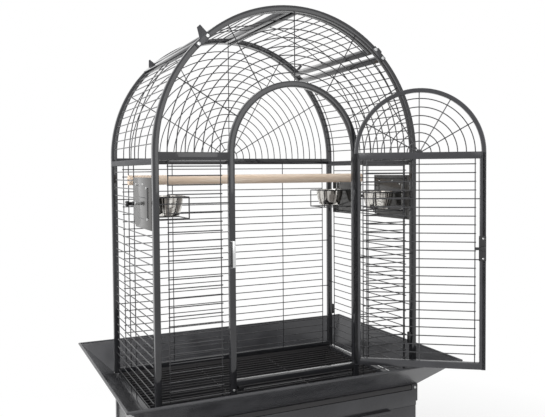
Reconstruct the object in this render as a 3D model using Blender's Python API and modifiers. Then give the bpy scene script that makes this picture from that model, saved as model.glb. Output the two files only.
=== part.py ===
"""A dome-top parrot cage on a wheeled stand, for Blender 4.5.

Run with: blender --background --python part.py, or from the text editor.
Units are metres, +Z is up and the front of the cage faces -Y. The origin is on the
floor under the middle of the whole object, open door included, and the pieces are made
about the middle of the cage and moved back by CAGE_BACK at the end. Everything is at
rest: the front door stands open.
"""

import math

import bmesh
import bpy
from mathutils import Matrix, Vector

# How far the middle of the cage stands behind the origin
CAGE_BACK = 0.0772

# Gaps between pieces, and how far pieces that fuse reach into each other
TOUCH = 0.0003
RUN = 0.0015
BITE = 0.001

# Heights from the floor up
WHEEL_RADIUS = 0.0325
CASTOR_HEIGHT = 0.0855
STAND_HEIGHT = 0.3252
BASE_HEIGHT = 0.058
WALL_HEIGHT = 0.7792
BASE_BOTTOM = CASTOR_HEIGHT + STAND_HEIGHT + TOUCH
BASE_TOP = BASE_BOTTOM + BASE_HEIGHT
FRAME_BOTTOM = BASE_TOP + TOUCH
SPRING_Z = FRAME_BOTTOM + WALL_HEIGHT

# Outer size of the square-tube cage, over its corner posts
CAGE_WIDTH = 0.903
CAGE_DEPTH = 0.585
TUBE = 0.018
ARC_STEP = 6.0
HALF_X = CAGE_WIDTH / 2
HALF_Y = CAGE_DEPTH / 2
MID_X = HALF_X - TUBE / 2
MID_Y = HALF_Y - TUBE / 2
IN_X = HALF_X - TUBE
IN_Y = HALF_Y - TUBE
ARCH_OUTER = HALF_X
ARCH_MID = MID_X
ARCH_INNER = IN_X
# How far the flats of an arc lie inside its circle
FLATS = math.cos(math.radians(ARC_STEP / 2))

# Welded wire, in two layers
WIRE = 0.0034
WIRE_GAP = 0.0003
GRATE_WIRE = 0.0044
LAYER = (WIRE + WIRE_GAP) / 2
NET_HALF = LAYER + WIRE / 2
# The share of the lift that is left where a wire is to weld on to the other layer
WELD_SHARE = 0.2

# Level wires of the walls
PITCH = 0.027
FIRST_ROW_DROP = 0.0375
FIRST_ROW_Z = SPRING_Z - FIRST_ROW_DROP
SIDE_ROW_LIFT = 0.0115
BACK_ROW_DROP = 0.006
LONG_ROW_FIRST = 4
LONG_ROW_EVERY = 7
WALL_FLOOR = FRAME_BOTTOM + TUBE
ROW_COUNT = 1 + int((FIRST_ROW_Z - BACK_ROW_DROP - WALL_FLOOR - WIRE) / PITCH)
ROWS = [FIRST_ROW_Z - PITCH * k for k in range(ROW_COUNT)]
SIDE_ROWS = [z + SIDE_ROW_LIFT - PITCH for z in ROWS]
LONG_ROWS = list(range(LONG_ROW_FIRST, ROW_COUNT, LONG_ROW_EVERY))

# Front frame
CROSSBAR_RISE = 0.003
CROSSBAR_TOP = SPRING_Z + CROSSBAR_RISE
CROSSBAR_HEIGHT = 0.024
CROSSBAR_BOTTOM = CROSSBAR_TOP - CROSSBAR_HEIGHT
JAMB_INNER = 0.2043
JAMB_WIDTH = 0.0187
JAMB_OUTER = JAMB_INNER + JAMB_WIDTH
SILL_HEIGHT = 0.1017
SILL_TOP = FRAME_BOTTOM + SILL_HEIGHT
SLAT = 0.004
SLAT_GAP = 0.0225
FRONT_WIRE_FROM_POST = 0.0274
FRONT_WIRE_OUTER_X = IN_X - FRONT_WIRE_FROM_POST
FRONT_WIRE_FROM_JAMB = 0.0233
FRONT_WIRE_INNER_X = JAMB_OUTER + FRONT_WIRE_FROM_JAMB

# Fans of wire in the arches
SPOKES = (30, 60, 90, 120, 150)
FAN_PITCH = 0.0266
FAN_CHORD = 0.085
FRONT_FAN_START = 0.0255
FRONT_FAN_FIRST = JAMB_OUTER + FRONT_FAN_START
BACK_FAN_FIRST = 0.034
DOOR_FAN_FIRST = 0.037
HUB_RADIUS = 0.0115
HUB_THICK = 0.006
HUB_OVERLAP = 0.002
HUB_ARC_STEP = 20

# Back and side walls
BACK_CROSSBAR_DROP = 0.003
BACK_CROSSBAR_TOP = SPRING_Z - BACK_CROSSBAR_DROP
BACK_CROSSBAR_HEIGHT = 0.0225
BACK_CROSSBAR_BOTTOM = BACK_CROSSBAR_TOP - BACK_CROSSBAR_HEIGHT
BACK_WIRE_FROM_POST = 0.0245
BACK_OUTER_X = IN_X - BACK_WIRE_FROM_POST
BACK_INNER_SHARE = 0.525
BACK_INNER_X = IN_X * BACK_INNER_SHARE
SIDE_RAIL_DROP = 0.0145
SIDE_RAIL_TOP = SPRING_Z - SIDE_RAIL_DROP
SIDE_WIRE_FROM_POST = 0.0345
SIDE_END_Y = IN_Y - SIDE_WIRE_FROM_POST
SIDE_OPENING_Y = 0.0605
SIDE_MIDDLE_Y = -0.0130

# Roof, with its angles in degrees from the level of the springing
ROOF_FRONT_Y = -0.0300
ROOF_BACK_Y = 0.0415
ROOF_COLUMNS = (-SIDE_END_Y, ROOF_FRONT_Y, ROOF_BACK_Y, SIDE_END_Y)
ROOF_PITCH = 0.0269
ROOF_STEP = math.degrees(ROOF_PITCH / ARCH_MID)
ROOF_SEGMENTS = 6
ROOF_EDGE_ANGLE = 44.8
FLAP_EDGE_ANGLE = 49.6
FLAP_RIDGE_ANGLE = 88.1
FLAP_ROW_START = 4.0
FLAP_FIRST_ROW = FLAP_EDGE_ANGLE + FLAP_ROW_START
HALF_TUBE_ANGLE = math.degrees(TUBE / 2 / ARCH_MID)
# The share of half a tube by which the curved tubes of a flap run on over its end tubes
FLAP_TUBE_SHARE = 0.8
# The share of a step that a flap leaves free under its ridge tube
RIDGE_GAP_SHARE = 0.6
PIN_RADIUS = 0.003
PIN_CLEAR = 0.0003
PIN_DEPTH = 0.012
CUT_PAST = 0.002
BOLT_HEAD_RADIUS = 0.006
BOLT_HEAD_HEIGHT = 0.0035
BRACKET_THICK = 0.0025
BRACKET_HALF = 0.009
EAR_WIDTH = 0.009
EAR_FRONT_HEIGHT = 0.0375
EAR_FRONT = ARCH_MID + EAR_FRONT_HEIGHT
EAR_BACK_LEFT_HEIGHT = 0.0275
EAR_BACK_LEFT = ARCH_MID + EAR_BACK_LEFT_HEIGHT
EAR_BACK_RIGHT_HEIGHT = 0.0520
EAR_BACK_RIGHT = ARCH_MID + EAR_BACK_RIGHT_HEIGHT

# Door
DOOR_GAP = 0.0029
DOOR_HALF = JAMB_INNER - DOOR_GAP
DOOR_AXIS_INSET = 0.0009
DOOR_AXIS_X = JAMB_INNER - DOOR_AXIS_INSET
DOOR_AXIS_PROUD = 0.004
DOOR_AXIS_Y = -HALF_Y - DOOR_AXIS_PROUD
DOOR_FACE_STEP = 0.004
DOOR_MID_Y = DOOR_AXIS_Y + DOOR_FACE_STEP + TUBE / 2
DOOR_STILE = 0.0185
DOOR_FLOOR_GAP = 0.0027
DOOR_BOTTOM = SILL_TOP + DOOR_FLOOR_GAP
DOOR_RAIL = 0.0208
DOOR_CROSSBAR_RISE = 0.0025
DOOR_CROSSBAR_TOP = SPRING_Z + DOOR_CROSSBAR_RISE
DOOR_CROSSBAR_HEIGHT = 0.022
DOOR_CROSSBAR_BOTTOM = DOOR_CROSSBAR_TOP - DOOR_CROSSBAR_HEIGHT
DOOR_RING = 0.0133
DOOR_RING_INNER = DOOR_HALF - DOOR_RING
DOOR_WIRE_FROM_FREE = 0.0324
DOOR_WIRE_FROM_HINGE = 0.0386
DOOR_COLUMNS = (DOOR_WIRE_FROM_FREE - DOOR_HALF, 0.0, DOOR_HALF - DOOR_WIRE_FROM_HINGE)
DOOR_ROW_LIFT = 0.0022
DOOR_OPEN = 144.8
DOOR_HINGE_HIGH = 0.5373
DOOR_HINGE_LOW = 0.1373
DOOR_HINGE_RISES = (DOOR_HINGE_HIGH, DOOR_HINGE_LOW)
DOOR_PIN_RADIUS = 0.0016
DOOR_PIN_CLEAR = 0.0003
DOOR_PIN_PROUD = 0.002
DOOR_EYE_RADIUS = 0.0036
DOOR_EYE_HEIGHT = 0.022
DOOR_LUG_HEIGHT = 0.010
DOOR_LUG_WIDTH = 0.0061
DOOR_LUG_PROUD = 0.0025
DOOR_LINK_LENGTH = 0.012
DOOR_LINK_OUT = 0.0028
DOOR_LINK_IN = 0.0055
DOOR_LINK_INSET = 0.0004
LOCK_RISE = 0.3783
LOCK_Z = DOOR_BOTTOM + LOCK_RISE
LOCK_HEIGHT = 0.0775
LOCK_WIDTH = 0.022
LOCK_THICK = 0.003
LATCH_RADIUS = 0.008
LATCH_THICK = 0.006
LATCH_ARM = 0.026
LATCH_ARM_WIDTH = 0.009
KEEPER_DROP = 0.003
KEEPER_Z = LOCK_Z - KEEPER_DROP
KEEPER_HEIGHT = 0.080
KEEPER_INSET = 0.001
KEEPER_THICK = 0.0015

# Feeders: the opening lies between two of the side rows, and the plate covers both
OPENING_TOP_ROW = 1
OPENING_BOTTOM_ROW = 6
FEEDER_AXIS_FROM_POST = 0.0185
FEEDER_AXIS_Y = IN_Y - FEEDER_AXIS_FROM_POST
FEEDER_AXIS_OUT = 0.0075
FEEDER_PLATE_FROM_POST = 0.0155
FEEDER_PLATE_FAR = IN_Y - FEEDER_PLATE_FROM_POST
FEEDER_PLATE_LAP = 0.0155
FEEDER_PLATE_NEAR = SIDE_OPENING_Y - FEEDER_PLATE_LAP
FEEDER_PLATE_ABOVE = 0.0105
FEEDER_PLATE_TOP = SIDE_ROWS[OPENING_TOP_ROW] + FEEDER_PLATE_ABOVE
FEEDER_PLATE_BELOW = 0.0075
FEEDER_PLATE_BOTTOM = SIDE_ROWS[OPENING_BOTTOM_ROW] - FEEDER_PLATE_BELOW
FEEDER_PLATE_CORNER = 0.022
FEEDER_PLATE_THICK = 0.0016
FEEDER_PLATE_GAP = 0.0008
BASKET_SIZE = 0.110
BASKET_DROP = 0.0595
BASKET_TOP = FEEDER_PLATE_TOP - BASKET_DROP
BASKET_HEIGHT = 0.064
BASKET_FROM_POST = 0.1045
BASKET_Y = IN_Y - BASKET_FROM_POST
BASKET_WIRE = 0.004
BOWL_RADIUS = 0.0515
BOWL_RIM = 0.0575
BOWL_FOOT = 0.040
BOWL_HEIGHT = 0.060
BOWL_NECK = 0.012
BOWL_WALL = 0.0012
BOWL_STEPS = 20
BOWL_LIFT_GAP = 0.001
KNOB_INSET = 0.025
KNOB_Y = FEEDER_PLATE_NEAR + KNOB_INSET
KNOB_DROP = 0.081
KNOB_Z = FEEDER_PLATE_TOP - KNOB_DROP
KNOB_RADIUS = 0.009
KNOB_LENGTH = 0.034
KNOB_CHAMFER = 0.004
KNOB_NECK_RADIUS = 0.005
KNOB_NECK_LENGTH = 0.010
KNOB_STEPS = 12

# Perch, slotted over one side row
PERCH_RADIUS = 0.016
PERCH_Y = 0.0425
PERCH_SLOT = 0.0050
PERCH_SLOT_DEPTH = 0.014
PERCH_STEPS = 24

# Corner clips
CLIP_HEIGHT = 0.040
CLIP_SIDE = 0.011
CLIP_ROUND = 0.003
CLIP_BACK_RISE = 0.1507
CLIP_BACK_Z = FRAME_BOTTOM + CLIP_BACK_RISE
CLIP_FRONT_RISE = 0.1587
CLIP_FRONT_Z = FRAME_BOTTOM + CLIP_FRONT_RISE

# Seed skirt
SKIRT_OUT = 0.104
SKIRT_RISE = 0.093
SKIRT_LIFT = 0.0007
SKIRT_SHEET = 0.0016
HEM_RADIUS = 0.004
HEM_OPEN = 25
HEM_ARC_STEP = 34

# Base and grate
BASE_PROUD = 0.0032
BASE_WALL = 0.024
BASE_OUT_X = HALF_X + BASE_PROUD
BASE_OUT_Y = HALF_Y + BASE_PROUD
BASE_IN_X = BASE_OUT_X - BASE_WALL
BASE_IN_Y = BASE_OUT_Y - BASE_WALL
LEDGE = 0.012
SLOT_HEIGHT = 0.0175
SLOT_BOTTOM = BASE_TOP - SLOT_HEIGHT
FASCIA_DROP = 0.0135
FASCIA_BOTTOM = BASE_BOTTOM - FASCIA_DROP
FASCIA_THICK = 0.0022
FASCIA_PROUD = 0.0002
GRATE_RAIL = 0.016
GRATE_RUNNER_BITE = 0.004

# Stand
STAND_INSET = 0.0035
STAND_HALF_X = HALF_X - STAND_INSET
LEG = 0.025
SHELF_RISE = 0.0645
SHELF_TOP = CASTOR_HEIGHT + SHELF_RISE
SHELF_HEIGHT = 0.022
SHELF_SHEET = 0.0020
SHELF_GAP = 0.0005

# Tray
TRAY_DROP = 0.0165
TRAY_TOP = BASE_BOTTOM - TRAY_DROP
TRAY_DEPTH = 0.0495
TRAY_BOTTOM = TRAY_TOP - TRAY_DEPTH
TRAY_SHEET = 0.0020
TRAY_FRONT_INSET = 0.0015
TRAY_FRONT_HALF = STAND_HALF_X - TRAY_FRONT_INSET
TRAY_FRONT_LIP = 0.010
TRAY_FRONT_BOTTOM = TRAY_BOTTOM - TRAY_FRONT_LIP
TRAY_FRONT_THICK = 0.0028
PULL_INSET = 0.106
PULL_HALF = STAND_HALF_X - PULL_INSET
PULL_DROP = 0.0007
PULL_TOP = FASCIA_BOTTOM - PULL_DROP
PULL_HEIGHT = 0.0115
PULL_OUT = 0.0095
RAIL_HEIGHT = 0.017
RAIL_BOTTOM = TRAY_FRONT_BOTTOM - RAIL_HEIGHT
RAIL_INSET = 0.0025

# Castors
WHEEL_WIDTH = 0.020
WHEEL_STEPS = 20
TYRE_SHOULDER = 0.004
TYRE_CHAMFER = 0.003
AXLE_RADIUS = 0.004
AXLE_CLEAR = 0.0004
CASTOR_TRAIL = 0.022
FORK_CHEEK = 0.003
FORK_CHEEK_INSET = 0.0004
FORK_SIDE_GAP = 0.0015
FORK_TOP = 0.006
FORK_STEM_RADIUS = 0.010
FORK_STEM_HEIGHT = 0.006
FORK_FRONT = 0.016
FORK_BACK = 0.008
CHEEK_FRONT = 0.010
CHEEK_BACK = 0.007
CHEEK_DROP = 0.009

CAGE = bpy.data.collections.new("parrot_cage")
HELPERS = bpy.data.collections.new("helpers")


def clear_scene():
    for obj in list(bpy.data.objects):
        bpy.data.objects.remove(obj)
    scene = bpy.context.scene
    scene.unit_settings.system = "METRIC"
    scene.collection.children.link(CAGE)
    scene.collection.children.link(HELPERS)


def make_material(name, color, metallic, roughness):
    material = bpy.data.materials.new(name)
    material.use_nodes = True
    shader = material.node_tree.nodes["Principled BSDF"]
    shader.inputs["Base Color"].default_value = (*color, 1)
    shader.inputs["Metallic"].default_value = metallic
    shader.inputs["Roughness"].default_value = roughness
    return material


CHARCOAL = make_material("charcoal_paint", (0.085, 0.080, 0.088), 0.35, 0.42)
WIRE_PAINT = make_material("charcoal_wire", (0.070, 0.068, 0.074), 0.35, 0.45)
PLATE_GREY = make_material("grey_plate", (0.36, 0.35, 0.34), 0.45, 0.40)
STEEL = make_material("polished_steel", (0.62, 0.61, 0.60), 1.0, 0.18)
BOLT_STEEL = make_material("zinc_bolt", (0.70, 0.70, 0.70), 1.0, 0.28)
PALE_WOOD = make_material("pale_wood", (0.66, 0.50, 0.37), 0.0, 0.60)
BLACK_PLASTIC = make_material("black_plastic", (0.015, 0.015, 0.016), 0.0, 0.40)
TYRE = make_material("grey_rubber", (0.10, 0.10, 0.11), 0.0, 0.70)


def place_object(name, mesh, material=None, helper=False):
    obj = bpy.data.objects.new(name, mesh)
    if helper:
        HELPERS.objects.link(obj)
        obj.hide_render = True
        obj.display_type = "WIRE"
    else:
        CAGE.objects.link(obj)
        mesh.materials.append(material)
    return obj


def mesh_from(bm, name):
    mesh = bpy.data.meshes.new(name)
    bmesh.ops.recalc_face_normals(bm, faces=bm.faces)
    bm.to_mesh(mesh)
    bm.free()
    return mesh


def add_box(bm, low, high):
    centre = [(a + b) / 2 for a, b in zip(low, high)]
    size = [b - a for a, b in zip(low, high)]
    matrix = Matrix.Translation(centre) @ Matrix.Diagonal((*size, 1))
    bmesh.ops.create_cube(bm, size=1, matrix=matrix)


def boxes(name, spans, material=None, helper=False):
    """Boxes given as (low corner, high corner), all in one object."""
    bm = bmesh.new()
    for low, high in spans:
        add_box(bm, low, high)
    return place_object(name, mesh_from(bm, name), material, helper)


def add_bar(bm, start, end, width, depth, across):
    """A square bar from start to end, with its depth measured along the direction across."""
    start, end = Vector(start), Vector(end)
    run = end - start
    z_axis = run.normalized()
    y_axis = (Vector(across) - z_axis * z_axis.dot(Vector(across))).normalized()
    x_axis = y_axis.cross(z_axis)
    turn = Matrix((x_axis, y_axis, z_axis)).transposed().to_4x4()
    size = Matrix.Diagonal((width, depth, run.length, 1))
    bmesh.ops.create_cube(bm, size=1, matrix=Matrix.Translation((start + end) / 2) @ turn @ size)


def bars(name, pairs, across, width, depth, material=None, helper=False):
    bm = bmesh.new()
    for start, end in pairs:
        add_bar(bm, start, end, width, depth, across)
    return place_object(name, mesh_from(bm, name), material, helper)


def rods(name, spans, radius, sides, material=None, helper=False):
    """Round bars from start to end, all in one object."""
    bm = bmesh.new()
    for start, end in spans:
        start, end = Vector(start), Vector(end)
        turn = (end - start).to_track_quat("Z", "Y").to_matrix().to_4x4()
        matrix = Matrix.Translation((start + end) / 2) @ turn
        bmesh.ops.create_cone(
            bm, cap_ends=True, segments=sides, radius1=radius, radius2=radius,
            depth=(end - start).length, matrix=matrix,
        )
    return place_object(name, mesh_from(bm, name), material, helper)


def arc(radius, first, last, centre=(0.0, SPRING_Z), step=ARC_STEP):
    """Points along an arc, from the angle first to the angle last in degrees."""
    count = max(2, math.ceil(abs(last - first) / step))
    angles = [math.radians(first + (last - first) * k / count) for k in range(count + 1)]
    return [(centre[0] + radius * math.cos(a), centre[1] + radius * math.sin(a)) for a in angles]


def angle_at(height, radius):
    """The angle in degrees at which a circle about the springing reaches a height."""
    return math.degrees(math.asin((height - SPRING_Z) / radius))


def rect(x0, x1, z0, z1):
    return [(x0, z0), (x1, z0), (x1, z1), (x0, z1)]


FACE_FRONT = Matrix.Rotation(math.radians(90), 4, "X")
FACE_SIDE = Matrix.Rotation(math.radians(90), 4, "Z") @ FACE_FRONT


def plate(name, loops, thick, centre, material=None, helper=False, turn=FACE_FRONT):
    """A flat outline with holes, as thick as asked, made from a filled 2D curve."""
    curve = bpy.data.curves.new(name, "CURVE")
    curve.dimensions = "2D"
    curve.fill_mode = "BOTH"
    curve.extrude = thick / 2
    for points in loops:
        spline = curve.splines.new("POLY")
        spline.points.add(len(points) - 1)
        for point, (u, v) in zip(spline.points, points):
            point.co = (u, v, 0, 1)
        spline.use_cyclic_u = True
    return mesh_object(name, curve, Matrix.Translation(centre) @ turn, material, helper)


def mesh_object(name, curve, matrix, material=None, helper=False):
    """The mesh of a curve, with its caps welded on, as an object."""
    source = bpy.data.objects.new(name + "_curve", curve)
    HELPERS.objects.link(source)
    bpy.context.view_layer.update()
    graph = bpy.context.evaluated_depsgraph_get()
    mesh = bpy.data.meshes.new_from_object(source.evaluated_get(graph))
    bpy.data.objects.remove(source)
    mesh.name = name
    bm = bmesh.new()
    bm.from_mesh(mesh)
    bmesh.ops.remove_doubles(bm, verts=bm.verts, dist=0.00001)
    bmesh.ops.recalc_face_normals(bm, faces=bm.faces)
    bmesh.ops.transform(bm, matrix=matrix, verts=bm.verts)
    bm.to_mesh(mesh)
    bm.free()
    return place_object(name, mesh, material, helper)


def boolean(target, other, operation):
    modifier = target.modifiers.new(operation.title() + " " + other.name, "BOOLEAN")
    modifier.operation = operation
    modifier.solver = "EXACT"
    modifier.object = other


def wires(name, paths, radius, material=None, helper=False):
    """Wires along paths of points, made from one bevelled curve."""
    curve = bpy.data.curves.new(name, "CURVE")
    curve.dimensions = "3D"
    curve.bevel_depth = radius
    curve.bevel_resolution = 0
    curve.use_fill_caps = True
    for path in paths:
        spline = curve.splines.new("POLY")
        spline.points.add(len(path) - 1)
        for point, place in zip(spline.points, path):
            point.co = (*place, 1)
    return mesh_object(name, curve, Matrix(), material, helper)


def net(name, layer_one, layer_two, material=WIRE_PAINT, radius=WIRE / 2):
    """Wires in two layers that lie a small gap apart, welded where the paths are made to meet."""
    top = wires(name, layer_one, radius, material)
    under = wires(name + "_under", layer_two, radius, helper=True)
    boolean(top, under, "UNION")
    return top, under


def wall_net(name, rows, columns, at, radius=WIRE / 2):
    """A net of level rows and upright columns.

    rows are (height, start, end) and columns (place, low, high, welded). The first row and
    the welded columns lie between the layers, so they join all that cross them.
    at(u, v, lift) gives a point of the wall, lifted out of its plane.
    """
    level = []
    for k, (v, start, end) in enumerate(rows):
        lift = LAYER if k else LAYER * WELD_SHARE
        level.append([at(start, v, lift), at(end, v, lift)])
    upright = []
    for u, low, high, welded in columns:
        lift = 0 if welded else -LAYER
        upright.append([at(u, low, lift), at(u, high, lift)])
    return net(name, level, upright, radius=radius)


def hinge_empty(name, position):
    empty = bpy.data.objects.new(name, None)
    empty.location = position
    HELPERS.objects.link(empty)
    return empty


def hang_on(empty, objects):
    """Parents objects to a joint's empty, where they are now."""
    for obj in objects:
        obj.parent = empty
        obj.matrix_parent_inverse = Matrix.Translation(empty.location).inverted()


def polar(angle, radius, y):
    turn = math.radians(angle)
    return Vector((radius * math.cos(turn), y, SPRING_Z + radius * math.sin(turn)))


def radial(angle):
    turn = math.radians(angle)
    return Vector((math.cos(turn), 0, math.sin(turn)))


def make_front_frame():
    """Posts, arch, crossbars, door jambs, door arch and sill, cut from one outline."""
    outer = [(-HALF_X, FRAME_BOTTOM), (HALF_X, FRAME_BOTTOM)] + arc(ARCH_OUTER, 0, 180)
    panels = [
        rect(JAMB_OUTER, IN_X, WALL_FLOOR, CROSSBAR_BOTTOM),
        rect(-IN_X, -JAMB_OUTER, WALL_FLOOR, CROSSBAR_BOTTOM),
    ]
    doorway = [(-JAMB_INNER, SILL_TOP), (JAMB_INNER, SILL_TOP)] + arc(JAMB_INNER, 0, 180)
    outer_angle = angle_at(CROSSBAR_TOP, ARCH_INNER)
    inner_angle = angle_at(CROSSBAR_TOP, JAMB_OUTER)
    fan_space = arc(ARCH_INNER, outer_angle, 180 - outer_angle)
    fan_space += arc(JAMB_OUTER, 180 - inner_angle, inner_angle)
    slots = []
    low = WALL_FLOOR
    while low + SLAT_GAP < SILL_TOP - TUBE:
        high = min(low + SLAT_GAP, SILL_TOP - TUBE)
        slots.append(rect(-JAMB_INNER, JAMB_INNER, low, high))
        low = high + SLAT
    frame = plate(
        "front_frame", [outer, doorway, fan_space] + panels + slots, TUBE, (0, -MID_Y, 0), CHARCOAL
    )
    lugs = []
    pins = []
    lug_x = DOOR_AXIS_X - DOOR_PIN_RADIUS
    for rise in DOOR_HINGE_RISES:
        z = DOOR_BOTTOM + rise
        lugs.append((
            (lug_x, DOOR_AXIS_Y - DOOR_LUG_PROUD, z - DOOR_LUG_HEIGHT),
            (lug_x + DOOR_LUG_WIDTH, -HALF_Y + BITE, z),
        ))
        pins.append((
            (DOOR_AXIS_X, DOOR_AXIS_Y, z - DOOR_LUG_HEIGHT / 2),
            (DOOR_AXIS_X, DOOR_AXIS_Y, z + DOOR_EYE_HEIGHT + DOOR_PIN_PROUD),
        ))
    boolean(frame, boxes("door_lugs", lugs, helper=True), "UNION")
    boolean(frame, rods("door_pins", pins, DOOR_PIN_RADIUS, 10, helper=True), "UNION")
    cut_pin_holes(frame, -1)
    return frame


def cut_pin_holes(frame, side):
    """Clearance holes for the two roof flap pins, through one arch."""
    spans = []
    for angle in (FLAP_EDGE_ANGLE, 180 - FLAP_EDGE_ANGLE):
        spans.append((polar(angle, ARCH_MID, side * (IN_Y - CUT_PAST)),
                      polar(angle, ARCH_MID, side * (HALF_Y + CUT_PAST))))
    holes = rods(frame.name + "_pin_holes", spans, PIN_RADIUS + PIN_CLEAR, 12, helper=True)
    boolean(frame, holes, "DIFFERENCE")


def make_back_frame():
    outer = [(-HALF_X, FRAME_BOTTOM), (HALF_X, FRAME_BOTTOM)] + arc(ARCH_OUTER, 0, 180)
    panel = rect(-IN_X, IN_X, WALL_FLOOR, BACK_CROSSBAR_BOTTOM)
    low_angle = angle_at(BACK_CROSSBAR_TOP, ARCH_INNER)
    dome = arc(ARCH_INNER, low_angle, 180 - low_angle)
    frame = plate("back_frame", [outer, panel, dome], TUBE, (0, MID_Y, 0), CHARCOAL)
    cut_pin_holes(frame, 1)
    return frame


def make_front_grille(name, side):
    low, high = sorted((side * FRONT_WIRE_INNER_X, side * FRONT_WIRE_OUTER_X))
    reach = sorted((side * (JAMB_OUTER + TOUCH), side * (IN_X - TOUCH)))
    rows = []
    for k, z in enumerate(ROWS):
        rows.append((z, reach[0], reach[1]) if k in LONG_ROWS else (z, low - WIRE, high + WIRE))
    top, bottom = CROSSBAR_BOTTOM - TOUCH, WALL_FLOOR + TOUCH
    columns = [(low, bottom, top, True), (high, bottom, top, False)]
    wall_net(name, rows, columns, lambda x, z, lift: (x, -MID_Y - lift, z))


def fan_arc(radius, base, at, lift):
    """An arc of wire that starts and ends just above the crossbar under it."""
    low = angle_at(base, radius)
    segments = max(5, 2 * round(math.pi * radius / FAN_CHORD / 2) + 1)
    step = (180 - 2 * low) / segments
    return [at(low + step * k, radius, lift) for k in range(segments + 1)]


def make_fan(name, first, edges, floor_z, at):
    """Arcs and spokes of wire in an arch. The middle spoke joins the arcs to each other."""
    count = 1 + int((edges[1] - first - WIRE) / FAN_PITCH)
    radii = [first + FAN_PITCH * k for k in range(count)]
    base = floor_z + TOUCH + WIRE / 2
    arcs = []
    for radius in radii:
        lift = LAYER * WELD_SHARE if radius == radii[-1] else LAYER
        arcs.append(fan_arc(radius, base, at, lift))
    spokes = []
    for angle in SPOKES:
        lift = 0 if angle == 90 else -LAYER
        spokes.append([at(angle, edges[0], lift), at(angle, edges[1] * FLATS - TOUCH, lift)])
    return net(name, arcs, spokes)


def make_back_grille():
    reach = IN_X - TOUCH
    rows = []
    for k, z in enumerate(ROWS):
        half = reach if k in LONG_ROWS else BACK_OUTER_X + WIRE
        rows.append((z - BACK_ROW_DROP, -half, half))
    top, bottom = BACK_CROSSBAR_BOTTOM - TOUCH, WALL_FLOOR + TOUCH
    places = (-BACK_OUTER_X, -BACK_INNER_X, 0.0, BACK_INNER_X, BACK_OUTER_X)
    columns = [(x, bottom, top, x == 0.0) for x in places]
    wall_net("back_grille", rows, columns, lambda x, z, lift: (x, MID_Y + lift, z))


def make_side(name, side, feeder_ends):
    """A side wall: top rail, and a net with one opening for each feeder."""
    low_x, high_x = sorted((side * IN_X, side * HALF_X))
    boxes("side_rail_" + name, [(
        (low_x, -IN_Y + TOUCH, SIDE_RAIL_TOP - TUBE), (high_x, IN_Y - TOUCH, SIDE_RAIL_TOP)
    )], CHARCOAL)
    top, bottom = SIDE_RAIL_TOP - TUBE - TOUCH, BASE_TOP + TOUCH
    rows = []
    for k, z in enumerate(SIDE_ROWS):
        reach = IN_Y - TOUCH if k + 1 in LONG_ROWS else SIDE_END_Y + WIRE
        start, end = -reach, reach
        if OPENING_TOP_ROW < k < OPENING_BOTTOM_ROW:
            start = -SIDE_OPENING_Y - WIRE if -1 in feeder_ends else start
            end = SIDE_OPENING_Y + WIRE if 1 in feeder_ends else end
        rows.append((z, start, end))
    columns = [
        (-SIDE_END_Y, bottom, top, False), (SIDE_MIDDLE_Y, bottom, top, True),
        (SIDE_OPENING_Y, bottom, top, False), (SIDE_END_Y, bottom, top, False),
        (-SIDE_OPENING_Y, SIDE_ROWS[OPENING_BOTTOM_ROW] - WIRE, SIDE_ROWS[OPENING_TOP_ROW] + WIRE, True),
    ]
    wall_net("side_grille_" + name, rows, columns, lambda y, z, lift: (side * (MID_X + lift), y, z))


def roof_angle(side, angle):
    return angle if side > 0 else 180 - angle


def make_roof_side(name, side):
    """The fixed part of the roof: an edge tube and the net between it and the side rail."""
    angle = roof_angle(side, ROOF_EDGE_ANGLE)
    ends = [polar(angle, ARCH_MID, y) for y in (-IN_Y + TOUCH, IN_Y - TOUCH)]
    bars("roof_edge_" + name, [ends], radial(angle), TUBE, TUBE, CHARCOAL)
    edge = ROOF_EDGE_ANGLE - HALF_TUBE_ANGLE - math.degrees(2 * TOUCH / ARCH_MID)
    angles = [roof_angle(side, ROOF_STEP * k) for k in range(1, 1 + int(edge / ROOF_STEP))]
    rail = roof_angle(side, math.degrees((SIDE_RAIL_TOP + TOUCH - SPRING_Z) / ARCH_MID))
    roof_net("roof_grille_" + name, angles, rail, roof_angle(side, edge), IN_Y - TOUCH)


def roof_net(name, angles, first, last, reach):
    """Front-to-back wires over wires that follow the arch from the angle first to last."""
    rows = []
    for turn in angles:
        lift = LAYER * WELD_SHARE if turn == angles[0] else LAYER
        rows.append([polar(turn, ARCH_MID + lift, y) for y in (-reach, reach)])
    count = ROOF_SEGMENTS
    curved = []
    for y in ROOF_COLUMNS:
        lift = 0 if y == ROOF_COLUMNS[1] else -LAYER
        turns = [first + (last - first) * k / count for k in range(count + 1)]
        curved.append([polar(turn, ARCH_MID + lift, y) for turn in turns])
    return net(name, rows, curved)


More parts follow.
